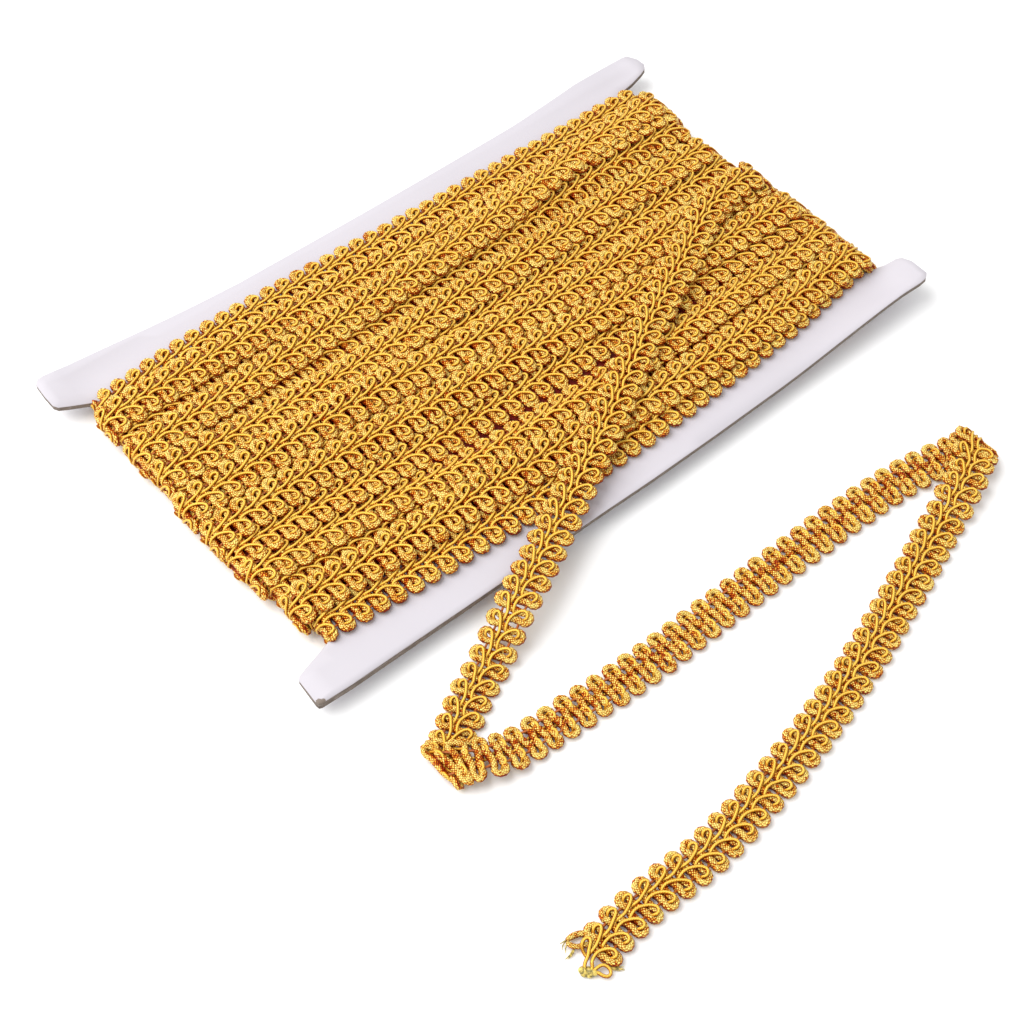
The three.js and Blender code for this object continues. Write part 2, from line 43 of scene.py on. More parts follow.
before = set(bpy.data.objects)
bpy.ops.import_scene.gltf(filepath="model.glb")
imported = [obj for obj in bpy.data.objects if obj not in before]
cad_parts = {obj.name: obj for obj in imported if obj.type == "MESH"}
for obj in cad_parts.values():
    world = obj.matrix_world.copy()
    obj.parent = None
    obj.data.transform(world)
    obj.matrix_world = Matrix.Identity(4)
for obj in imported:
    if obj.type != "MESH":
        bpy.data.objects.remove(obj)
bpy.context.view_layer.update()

# The tables below are in millimetres in the card's own frame: X along the long side of the
# card, Y across it, origin at the middle of the card, Z from the surface it all lies on.
MM = 0.001
CARD_OFFSET = np.array((0.8, 60.2, 0.0))
UP = np.array((0.0, 0.0, 1.0))

BRAID_WIDTH = 15.0
BRAID_THICKNESS = 2.2
PITCH = 6.3
# Height of the cords' middle plane over the underside of the braid
MIDDLE = 1.35
CARD_THICKNESS = 2.0
CARD_TOP = 6.7

# How rows settle: share of its height that a stack keeps under the next row, and how far
# along a row a step in what lies beneath it is smoothed, in steps of the grid
SETTLED_SHARE = 0.86
SETTLING_REACH = 6
# A half of a row rests on what lies this far from the row's middle, and its height is
# taken at this distance from it
SIDE_SPAN = (3.5, 6.5)
SIDE_MIDDLE = 5.0
# How far a half may lie over or under the middle, and the middle under the halves' mean
MOST_TILT = 1.9
MIDDLE_SAG = 0.5
# Share of its height that a row loses at its edges, and how late it falls
CROWN_DROP = 0.25
CROWN_POWER = 4
# Gap between the card and the rows, and between the rows and the tail
ROW_CLEARANCE = 0.1

ROW_STATIONS = (-120, -80, -40, 0, 40, 80, 120)
# Rows on the card in the order in which they were laid: name, layer, shift of the first
# scallop along the row, and Y of the middle at each station
ROWS = (
    ("far_edge", "first", 0.4, (56.4, 59.5, 59.5, 58, 57.3, 56.6, 56.2)),
    ("under_second", "first", 2.1, (42, 44.5, 43, 41, 39, 38, 38)),
    ("under_third", "first", 4.0, (27, 28, 28.5, 29.5, 31.5, 33.5, 34)),
    ("under_fourth", "first", 1.2, (12.5, 11.5, 10, 7.6, 7.6, 8.6, 10)),
    ("under_fifth", "first", 5.1, (-4, -5, -8, -10, -12, -13, -13)),
    ("under_eighth", "first", 3.3, (-38.5, -42, -45, -47, -48, -47, -46)),
    ("near_edge", "first", 0.9, (-58.8, -62.2, -64, -64.6, -62.9, -60, -54.6)),
    ("second", "middle", 2.6, (49.7, 49.9, 48.6, 46.9, 45, 44, 43.5)),
    ("eighth", "middle", 4.4, (-31.4, -34.6, -40.6, -41.8, -42.2, -40.2, -39.2)),
    ("seventh", "middle", 1.6, (-20.8, -23.8, -26, -27.2, -26.9, -27.3, -28.2)),
    ("third", "last", 5.6, (31.8, 33.6, 35.5, 37.3, 40.3, 46.3, 49)),
    ("fourth", "last", 3.0, (18.6, 16.4, 15.6, 18.6, 19.4, 20.3, 19.6)),
    ("sixth", "last", 0.2, (-11.4, -11.6, -13.6, -15.9, -18.6, -20, -21.5)),
    ("fifth", "last", 4.8, (3.1, 3.4, 1.9, -1.6, -3.6, -4.5, -6)),
    ("ninth", "last", 2.3, (-49.6, -51.5, -53.5, -56, -57.6, -56.8, -54.4)),
)
NEAR_EDGE = (-65.5, -69.4, -71, -71.6, -70.6, -67.8, -61.8)

# How far the turns bulge past each end of the card: Y, reach on the left, on the right
END_REACH = (
    (-63, -119.8, 125.2), (-52, -121.4, 126.2), (-39, -123.8, 126.8), (-25, -125.6, 127.2),
    (-12, -126.4, 125.6), (4, -127.1, 124.8), (14, -124.9, 122), (27, -126.8, 120.6),
    (38, -126.9, 121.8), (46, -127.8, 122.7), (55, -127, 121), (63, -124.6, 117.6),
)
# X of the notches at the near and far ears, left and right
NOTCH = {-1: (-114.6, -120.5), 1: (119.8, 114.2)}
NOTCH_SPAN = 66.0
# X at which a row's turn round the end of the card is taken
HALF_LENGTH = 117.0
# Points along a row between its turns, and degrees between the points of a turn
ROW_POINTS = 118
TURN_STEP = 15
# Rows of the first layer turn this much closer to the card
TUCKED_IN = 2.0
# The ends of a row run on under the card: how far, from where, and with points how often
HIDDEN_RUN = 16.0
HIDDEN_GAP = 0.9
HIDDEN_STEP = 2.5
# Points over which a change of tilt is spread
TILT_FADE = 3
# Height of the middle plane of the first layer under the card
LIFTED = 3.4
# The rows are pressed a little wider than the loose tail, and their cord flatter
ROW_SPREAD = 1.05
ROW_PRESS = 1.08

# Rows under the card: how far they stay inside the notches, and how far the last one slants
UNDERSIDE_GAP = 2.0
UNDERSIDE_POINTS = 60
LAST_SLANT = 11
# After this many rows the shift of the first scallop starts again from 0
UNDERSIDE_SHIFTS = 5

# Turn of the tail round the right end: X and Y of its middle, and how far it stands out
TAIL_BEND = (119.0, -3.4, 3.4)
TAIL_HIDDEN_RUN = 15.0
# Loose tail, one line for each run between two folds, with the way that its face looks
TAIL_RUNS = (
    (1, (
        (120, -3.4), (107, -3.6), (97, -5.8), (87, -10.2), (67, -21), (47, -31), (27, -42.6),
        (5, -55.6), (-13, -65.6), (-30, -74.6), (-45, -82.4), (-58, -89), (-69, -94.2),
        (-81.5, -99.8), (-94, -105.8), (-105.5, -112.6), (-115.6, -119.8),
    )),
    (-1, (
        (-115.6, -119.8), (-107, -125.4), (-98, -128.3), (-85, -129.2), (-72.4, -129.9),
        (-46.3, -131), (-19, -130.5), (9.3, -130), (38.5, -129.7), (53.4, -130),
        (68.4, -130.9), (83, -133), (97.2, -137),
    )),
    (1, (
        (97.2, -137), (88.5, -143), (73.5, -149.1), (58.2, -154.6), (43.2, -160.3),
        (14.4, -170.5), (-13.2, -178.9), (-46.3, -186.3), (-71.8, -190.1), (-96.9, -190.3),
        (-108, -191.2), (-114, -192.2), (-119, -193.5), (-123, -195.6), (-126.5, -197.5),
    )),
)
# Creases: direction along the crease, and outwards from the braid
FOLDS = (
    ((0.054, -0.9985), (-0.9985, -0.054)),
    ((0.056, -0.9984), (0.9984, 0.056)),
)
# How far from a crease the scallops swing into line with it, and how far they splay there
CREASE_TURN_LENGTH = 12.0
FOLD_SPREAD = 1.1
# Degrees between the points of a fold, and length between the points of a run
FOLD_STEP = 22.5
TAIL_STEP = 2.0
# The tail over the card: the X below which and the Y past which the card is under it, how
# far past the last row it still rests on it, the places across it that are tried, its room
# over the card, and how far its rise and fall reach along it, in points
OVER_CARD = (136, -84)
EDGE_SLACK = 0.5
TAIL_OFFSETS = 13
DRAPE_CLEARANCE = 2.0
DRAPE_REACH = 6
# The same where the tail lies on itself, with the margin at which it counts as close
FOLDED_GAP = 0.7
FOLDED_REACH = 3
OVERLAP_MARGIN = 1.5

# One repeat of each cord, laid out flat: along the braid towards its cut end, across it,
# height over its middle plane, and share of the cord's full thickness
TINSEL_REPEAT = (
    (-1.42, 3.98, -0.03, 1.00), (-1.75, 4.95, 0.00, 1.00), (-1.38, 5.98, 0.00, 1.00),
    (-0.52, 6.58, 0.00, 1.00), (0.52, 6.58, 0.00, 1.00), (1.38, 5.98, 0.00, 1.00),
    (1.75, 4.95, 0.00, 1.00), (1.44, 3.95, -0.03, 1.00), (1.24, 2.85, -0.05, 1.08),
    (1.40, 1.40, -0.08, 1.18), (1.75, -0.10, -0.08, 1.22), (1.98, -1.45, -0.08, 1.18),
    (1.98, -2.55, -0.05, 1.08), (1.74, -3.48, -0.03, 1.00), (1.40, -4.38, 0.00, 1.00),
    (1.74, -5.42, 0.00, 1.00), (2.62, -6.08, 0.00, 1.00), (3.68, -6.08, 0.00, 1.00),
    (4.56, -5.42, 0.00, 1.00), (4.90, -4.38, 0.00, 1.00), (4.58, -3.48, -0.03, 1.00),
    (4.32, -2.55, -0.05, 1.08), (4.48, -1.40, -0.08, 1.18), (4.85, 0.00, -0.08, 1.22),
    (5.02, 1.40, -0.08, 1.18), (5.06, 2.85, -0.05, 1.08),
)
SATIN_REPEAT_LEFT = (
    (6.10, 1.00, 0.40, 1.0), (5.20, 0.52, 0.95, 1.0), (3.75, 0.26, 1.05, 1.0),
    (2.10, 0.42, 1.08, 1.0), (0.75, 1.00, 1.12, 1.0), (-0.40, 1.83, 1.18, 1.0),
    (-1.35, 2.83, 1.28, 1.0), (-1.88, 3.95, 1.36, 1.0), (-1.70, 4.90, 1.34, 1.0),
    (-1.05, 5.48, 1.24, 1.0), (-0.25, 5.50, 1.10, 1.0), (0.42, 5.05, 0.70, 1.0),
    (0.75, 4.50, 0.00, 1.0), (1.40, 4.30, -0.68, 1.0), (2.00, 3.50, -0.85, 1.0),
    (2.10, 2.30, -0.85, 1.0), (1.60, 1.30, -0.70, 1.0), (0.70, 0.95, -0.20, 1.0),
)
SATIN_REPEAT_RIGHT = (
    (9.45, -1.35, 0.40, 1.0), (8.20, -1.00, 0.95, 1.0), (6.45, -1.02, 1.05, 1.0),
    (4.80, -1.48, 1.10, 1.0), (3.10, -2.10, 1.18, 1.0), (1.80, -2.72, 1.28, 1.0),
    (1.10, -3.50, 1.36, 1.0), (1.30, -4.25, 1.34, 1.0), (2.05, -4.72, 1.24, 1.0),
    (2.90, -4.72, 1.10, 1.0), (3.55, -4.35, 0.70, 1.0), (3.90, -3.95, 0.00, 1.0),
    (4.55, -3.70, -0.68, 1.0), (5.00, -3.00, -0.85, 1.0), (4.95, -2.10, -0.85, 1.0),
    (4.50, -1.45, -0.70, 1.0), (3.80, -1.20, -0.20, 1.0),
)
# How far the repeats reach before the first one's start and after the last one's end
LEAD, TRAIL = 2.2, 3.6
THREAD_REPEAT_LEFT = (
    (0.00, 2.00, -0.45, 0.8), (1.55, 2.70, -0.75, 0.9), (2.55, 3.45, -0.20, 1.1),
    (3.75, 3.45, -0.20, 1.1), (4.75, 2.70, -0.75, 0.9),
)
THREAD_REPEAT_RIGHT = (
    (3.15, -1.70, -0.45, 0.8), (4.70, -2.40, -0.75, 0.9), (5.70, -3.10, -0.20, 1.1),
    (6.90, -3.10, -0.20, 1.1), (7.90, -2.40, -0.75, 0.9),
)
CORD_SIDES = {"tinsel": 6, "satin": 6, "thread": 4}
# The lines that cords are repeated from, each with its step from one kept point to the next
REPEATS = {
    "tinsel_repeat": ((TINSEL_REPEAT,), 1),
    "satin_repeat": ((SATIN_REPEAT_LEFT, SATIN_REPEAT_RIGHT), 1),
    "thread_repeat": ((THREAD_REPEAT_LEFT, THREAD_REPEAT_RIGHT), 1),
    "tinsel_coarse": ((TINSEL_REPEAT,), 2),
    "satin_coarse": ((SATIN_REPEAT_LEFT, SATIN_REPEAT_RIGHT), 2),
}

# The cut end of the tail, measured from the middle of the last scallop on the left, which
# stands this far from the end of the course
END_SPACE = 10.7
END_STEP = 0.6
# Its lump and fibres, and how far each stretch strays from its even course
LUMP_THICKNESS = 2.2
LUMP_SIDES = 12
FIBRE_THICKNESS = 0.42
FIBRE_SIDES = 4
OPENED_STRAY, LUMP_STRAY, FIBRE_STRAY = 0.3, 0.9, 0.6
END_TINSEL = (
    (
        (-1.42, 3.98, -0.03, 1.0), (-1.75, 4.95, 0.00, 1.0), (-1.38, 5.98, 0.00, 1.0),
        (-0.52, 6.58, 0.00, 1.0), (0.52, 6.58, 0.00, 1.0), (1.38, 5.98, 0.00, 1.0),
        (1.75, 4.95, 0.00, 1.0), (1.44, 3.95, -0.03, 1.0), (1.24, 2.85, -0.05, 1.05),
        (1.20, 1.40, -0.08, 1.10), (0.90, -0.10, -0.08, 1.10), (0.10, -1.60, -0.08, 1.05),
        (-0.75, -2.90, -0.05, 0.98), (-1.20, -4.40, 0.00, 0.92), (-1.15, -5.80, 0.00, 0.88),
        (-0.50, -7.05, 0.00, 0.86), (0.55, -7.95, 0.00, 0.84), (1.60, -8.60, 0.00, 0.75),
        (2.20, -8.90, 0.00, 0.5),
    ),
    (
        (2.40, -8.60, -0.10, 0.4), (2.70, -7.40, 0.00, 0.75), (2.45, -6.00, 0.00, 0.72),
        (1.90, -4.90, 0.00, 0.75), (1.20, -4.00, 0.00, 0.8), (0.50, -3.10, -0.10, 0.8),
    ),
)
END_SATIN = (
    ((7.50, 0.80, 0.10, 1.0), (6.90, 0.95, 0.30, 1.0), *SATIN_REPEAT_LEFT,
     (-0.20, 1.00, 0.40, 1.0)),
    (
        (7.70, -0.60, 0.10, 1.0), (6.60, -1.05, 0.35, 1.0), (5.40, -1.30, 0.70, 1.0),
        (4.20, -1.35, 1.00, 1.0), (3.00, -1.60, 1.10, 1.0), (1.55, -2.10, 1.18, 1.0),
        (0.25, -2.72, 1.28, 1.0), (-0.45, -3.50, 1.36, 1.0), (-0.25, -4.25, 1.34, 1.0),
        (0.50, -4.72, 1.24, 1.0), (1.35, -4.72, 1.10, 1.0), (1.95, -4.35, 0.70, 1.0),
        (2.50, -3.60, 0.00, 1.0), (3.10, -2.60, -0.60, 1.0), (3.50, -1.70, -0.50, 1.0),
        (3.15, -1.35, 0.40, 1.0),
    ),
    (
        (6.90, 1.50, 0.10, 1.0), (5.60, 2.20, 0.30, 1.0), (4.30, 3.30, 0.30, 1.0),
        (3.95, 4.60, 0.10, 1.0), (4.50, 5.80, -0.10, 1.0), (5.80, 6.30, -0.20, 1.0),
        (6.90, 5.60, -0.20, 1.0), (7.00, 4.10, -0.10, 1.0), (6.80, 3.00, 0.00, 1.0),
        (7.00, 2.20, 0.00, 1.0),
    ),
)
END_LUMP = (
    (
        (8.45, -2.00, -0.10, 0.45), (8.15, -1.50, 0.00, 0.95), (7.75, -0.70, 0.10, 1.05),
        (7.65, 0.10, -0.10, 0.85), (7.25, 0.80, 0.10, 1.10), (7.15, 1.60, 0.00, 0.90),
        (6.80, 2.30, -0.10, 0.75), (6.70, 2.80, -0.10, 0.4),
    ),
    (
        (7.40, -1.90, -0.30, 0.4), (7.30, -1.20, -0.20, 0.75), (6.95, -0.50, -0.20, 0.55),
        (6.75, 0.40, -0.20, 0.80), (6.50, 1.30, -0.30, 0.5),
    ),
    (
        (8.80, -1.20, -0.50, 0.3), (8.65, -0.50, -0.40, 0.6), (8.30, 0.30, -0.40, 0.4),
        (8.10, 1.10, -0.40, 0.6), (7.80, 1.80, -0.50, 0.3),
    ),
)
END_FIBRES = (
    ((3.60, 5.40, -0.60, 1.0), (2.30, 7.20, -0.80, 1.1), (0.80, 9.30, -1.00, 0.4)),
    ((3.80, 5.60, -0.40, 1.0), (2.70, 7.40, -0.60, 1.1), (1.60, 9.30, -0.90, 0.4)),
    ((3.70, 5.20, -0.50, 1.0), (2.10, 6.80, -0.60, 1.1), (0.20, 8.60, -0.90, 0.4)),
    ((4.10, 5.50, -0.70, 1.0), (3.30, 6.90, -0.90, 1.0), (2.80, 8.40, -1.00, 0.4)),
    ((2.90, -6.00, -0.30, 1.0), (4.60, -6.00, -0.60, 1.1), (6.00, -6.50, -0.90, 0.4)),
    ((3.00, -6.30, -0.40, 1.0), (4.60, -6.60, -0.80, 1.1), (6.20, -7.20, -1.00, 0.4)),
    ((2.10, -8.90, -0.10, 1.0), (3.10, -9.20, -0.40, 0.9), (3.90, -9.00, -0.90, 0.4)),
    ((2.20, -9.00, 0.20, 1.0), (2.80, -9.70, 0.00, 0.9), (3.00, -10.30, -0.70, 0.4)),
    ((2.40, -8.30, 0.10, 1.0), (3.50, -8.30, -0.30, 0.9), (4.30, -7.90, -0.90, 0.4)),
)

# Card outline and the lift of its ears
CARD_OUTLINE = (
    (-132.4, -82.2), (-121, -82.6), (-103, -82.4), (-82, -82.3), (-62, -82.2), (-40, -81.9),
    (-18.6, -81.8), (2, -81.9), (30, -81.4), (60, -80.5), (88.6, -79.5), (109.5, -78.9),
    (121.4, -78.6), (129.6, -79), (132.4, -78.9), (134.2, -77.4), (134.4, -70), (134.2, -65.9),
    (132.8, -64.4), (128.4, -63.6), (121.6, -61.2), (119.8, -60.2), (118.4, -30), (117, 0),
    (115.6, 32), (114.2, 63.6), (117, 64.4), (126.8, 66.2), (129.4, 66.9), (130.4, 68.4),
    (130, 72), (128.4, 76.4), (126.4, 77), (103, 77.6), (71, 76), (30, 75.4), (0, 75.2),
    (-26, 75.3), (-54, 75.5), (-82, 76.9), (-108, 78.4), (-122, 79.2), (-131.4, 80.2),
    (-133.6, 79.9), (-135.4, 78.2), (-135.8, 72), (-135.5, 67.2), (-134.4, 65.8),
    (-131, 64.4), (-123.4, 61.4), (-120.6, 60.6), (-119, 30), (-117.6, 0), (-116, -32),
    (-114.6, -64.2), (-117.6, -65.3), (-128.6, -68.8), (-132.2, -70.1), (-133.2, -71.2),
    (-133.6, -80.6), (-133.4, -81.8),
)
EAR_LIFT = {(-1, -1): 0.6, (-1, 1): 3.0, (1, -1): 4.6, (1, 1): 3.6}
BORDER_CURL = ((60, 132), (70, 82))
TIP_CURL = ((120, 134), (58, 72))
# Where the board has opened at its near edge, and where its corner has lost its paper
EDGE_SWELL = 1.0
SWOLLEN = ((30, 110), (72, 80))
WORN_CORNER = (-132.6, -81.9)
WORN_REACH = 2.6
WORN_RAGGEDNESS = 2
# Rounding of the board's edges, and how far their middle stands back
CARD_BEVEL = 0.12
EDGE_HOLLOW = 0.08
# Points of the board: how far apart along its outline, and how far inside it at least
OUTLINE_STEP = 6
OUTLINE_MARGIN = 1.6
# Points inside the outline: first, past the last, and step
INSIDE_X = (-132, 133, 6.0)
INSIDE_Y = (-80, 79, 4.0)

# Body of the inner turns: rings across the card and the Y that they span, degrees between
# points of a turn, how far it stands back from the turns and stands out past the notch at
# least, and height of its middle and half its thickness
INNER_RINGS = 25
INNER_SPAN = (-56, 54)
INNER_STEP = 22.5
INNER_DEPTH = 4.2
INNER_LEAST_REACH = 1.2
INNER_HEIGHT = 5.2
INNER_RISE = 2.5

# Seeds of the cords' uneven courses: step from row to row, first row under the card, tail
ROW_SEED = 3.7
UNDERSIDE_SEED = 50
TAIL_SEED = 91.0
# Unevenness of a cord: how often it changes in a metre, and its share
DRIFTS = ((120.0, 1.0), (420.0, 0.55))
# Points of neighbouring repeats that are this close are one
JOIN_GAP = 0.01
# Samples between two given points of a smooth line
CURVE_SAMPLES = 24
# Facets: how far they stray in steps of their size, how round they are, and their tones
FACET_STRAY = 0.9
FACET_POWER = 0.7
FACET_TONES = (0.9, 0.38)

# Camera of the photograph: place in the card's frame, heading from +Y and fall in degrees
CAMERA_PLACE = (-273.25, -346.04, 515.98)
CAMERA_HEADING = 39.1716
CAMERA_FALL = 54.3645
CAMERA_LENS = 67.98
CAMERA_SENSOR = 36.0
# Stage, in metres: nearest distance that the camera sees, half the floor's width and its gap
# under the trim, and the key light's place and width
CAMERA_CLIP = 0.01
FLOOR_HALF = 20.0
FLOOR_GAP = 0.0002
KEY_PLACE = (-0.75, 0.75, 1.35)
KEY_SIZE = 1.7


# Sizes and colours that a user would change


def length_property(name, description, default):
    return bpy.props.FloatProperty(
        name=name, description=description, default=default, unit="LENGTH",
        subtype="DISTANCE", precision=5,
    )


def colour_property(name, description, default):
    return bpy.props.FloatVectorProperty(
        name=name, description=description, default=default, subtype="COLOR", min=0, max=1,
    )


class TRIM_PG_braid(bpy.types.PropertyGroup):
    """Sizes and colours of the braid, some of them painted glints, highlights and shade."""

    tinsel_thickness: length_property(
        "Crinkled cord", "Thickness of the crinkled metallic cord", 2.35 * MM
    )
    satin_thickness: length_property(
        "Satin cord", "Thickness of the satin cord of the leaves", 1.12 * MM
    )
    thread_thickness: length_property(
        "Binding thread", "Thickness of the thread that binds the scallops", 0.85 * MM
    )
    unevenness: length_property(
        "Unevenness", "How far the cords stray from their even course", 0.42 * MM
    )
    # Painted glints: the brightest facets take this colour in place of light glancing off the
    # metal
    tinsel_painted_glint: colour_property(
        "Crinkled cord, glints", "Colour of its brightest facets", (1.0, 0.82, 0.23)
    )
    tinsel_bright: colour_property(
        "Crinkled cord, bright", "Colour of its facets", (0.98, 0.54, 0.055)
    )
    tinsel_middle: colour_property(
        "Crinkled cord, middle", "Colour towards its grooves", (0.80, 0.17, 0.003)
    )
    # Painted shade: the colour in the grooves, at the cord's sides and under the satin, in place
    # of shade between the cords; the inner turns take darker versions of it
    tinsel_painted_shade: colour_property(
        "Crinkled cord, deep", "Colour in its grooves", (0.24, 0.006, 0.0002)
    )
    # Painted highlight: the colour along the top of the satin cord, in place of light falling on
    # it
    satin_painted_highlight: colour_property(
        "Satin cord, bright", "Colour along the top of the satin cord", (0.80, 0.53, 0.09)
    )
    satin_middle: colour_property(
        "Satin cord, middle", "Colour of the satin cord", (0.58, 0.25, 0.014)
    )
    # Painted shade: the colour at the sides of the satin cord, where it meets other cords
    satin_painted_shade: colour_property(
        "Satin cord, deep", "Colour at the sides of the satin cord", (0.24, 0.028, 0.001)
    )
    fused_colour: colour_property(
        "Cut end, colour", "Colour of the fused lump and of loose fibres", (0.80, 0.60, 0.13)
    )
    thread_colour: colour_property(
        "Binding thread, colour", "Colour of the binding thread", (0.52, 0.12, 0.006)
    )


class TRIM_PG_card(bpy.types.PropertyGroup):
    """Sizes and colours of the card."""

    thickness: length_property("Board", "Thickness of the board", CARD_THICKNESS * MM)
    paper: colour_property("Paper", "Colour of the paper on both faces", (0.53, 0.502, 0.54))
    board: colour_property(
        "Cut edge", "Colour of the grey board at its cut edges", (0.19, 0.15, 0.12)
    )


class TRIM_PG_stage(bpy.types.PropertyGroup):
    """Floor and light."""

    floor: colour_property("Floor", "Colour of the floor", (0.9, 0.9, 0.9))
    key_power: bpy.props.FloatProperty(
        name="Key light", description="Power of the large light above", default=36.0,
        unit="POWER",
    )
    fill: bpy.props.FloatProperty(
        name="Fill", description="Strength of the light from all round", default=0.85,
    )


# Node trees


class Nodes:
    """A node tree, to which nodes are added with few words."""

    def __init__(self, tree):
        self.tree = tree

    def add(self, kind, inputs=None, **settings):
        """A node with its settings and inputs: each input is a value or another's output."""
        node = self.tree.nodes.new(kind)
        for name, value in settings.items():
            setattr(node, name, value)
        for key, value in (inputs or {}).items():
            socket = node.inputs[key]
            if isinstance(value, bpy.types.NodeSocket):
                self.tree.links.new(value, socket)
            else:
                socket.default_value = value
        return node

    def out(self, kind, inputs=None, **settings):
        """The first output of a new node."""
        return self.add(kind, inputs, **settings).outputs[0]

    def maths(self, operation, *values):
        return self.out("ShaderNodeMath", dict(enumerate(values)), operation=operation)

    def vectors(self, operation, *values):
        return self.out("ShaderNodeVectorMath", dict(enumerate(values)), operation=operation)

    def measured(self, operation, *vectors):
        """A number that two vectors give, such as their distance."""
        made = self.add("ShaderNodeVectorMath", dict(enumerate(vectors)), operation=operation)
        return made.outputs["Value"]

    def scaled(self, vector, factor):
        return self.out("ShaderNodeVectorMath", {0: vector, "Scale": factor}, operation="SCALE")

    def named(self, name, kind):
        """A named attribute, in geometry nodes."""
        return self.out("GeometryNodeInputNamedAttribute", {"Name": name}, data_type=kind)

    def stored(self, geometry, name, value, kind):
        """Geometry with a named attribute added."""
        return self.out("GeometryNodeStoreNamedAttribute", {
            "Geometry": geometry, "Name": name, "Value": value,
        }, data_type=kind, domain="POINT")

    def attribute(self, name, output="Fac"):
        """A named attribute, in shader nodes."""
        return self.add("ShaderNodeAttribute", attribute_name=name).outputs[output]

    def object_place(self):
        return self.add("ShaderNodeTexCoord").outputs["Object"]

    def noise(self, where, scale, **inputs):
        values = {name.capitalize(): value for name, value in inputs.items()}
        return self.add("ShaderNodeTexNoise", {
            "Vector": where, "Scale": scale, **values,
        }).outputs["Fac"]

    def span(self, value, given, wanted):
        """A value brought from one range to another."""
        return self.out("ShaderNodeMapRange", {
            "Value": value, "From Min": given[0], "From Max": given[1],
            "To Min": wanted[0], "To Max": wanted[1],
        })


def new_group(name, kind, inputs, outputs):
    """A node group with named sockets: each has a name, a kind and perhaps a default."""
    tree = bpy.data.node_groups.new(name, kind)
    for in_out, sockets in (("INPUT", inputs), ("OUTPUT", outputs)):
        for socket_name, socket_kind, *default in sockets:
            made = tree.interface.new_socket(
                name=socket_name, in_out=in_out, socket_type=f"NodeSocket{socket_kind}"
            )
            if default:
                made.default_value = default[0]
    return Nodes(tree)


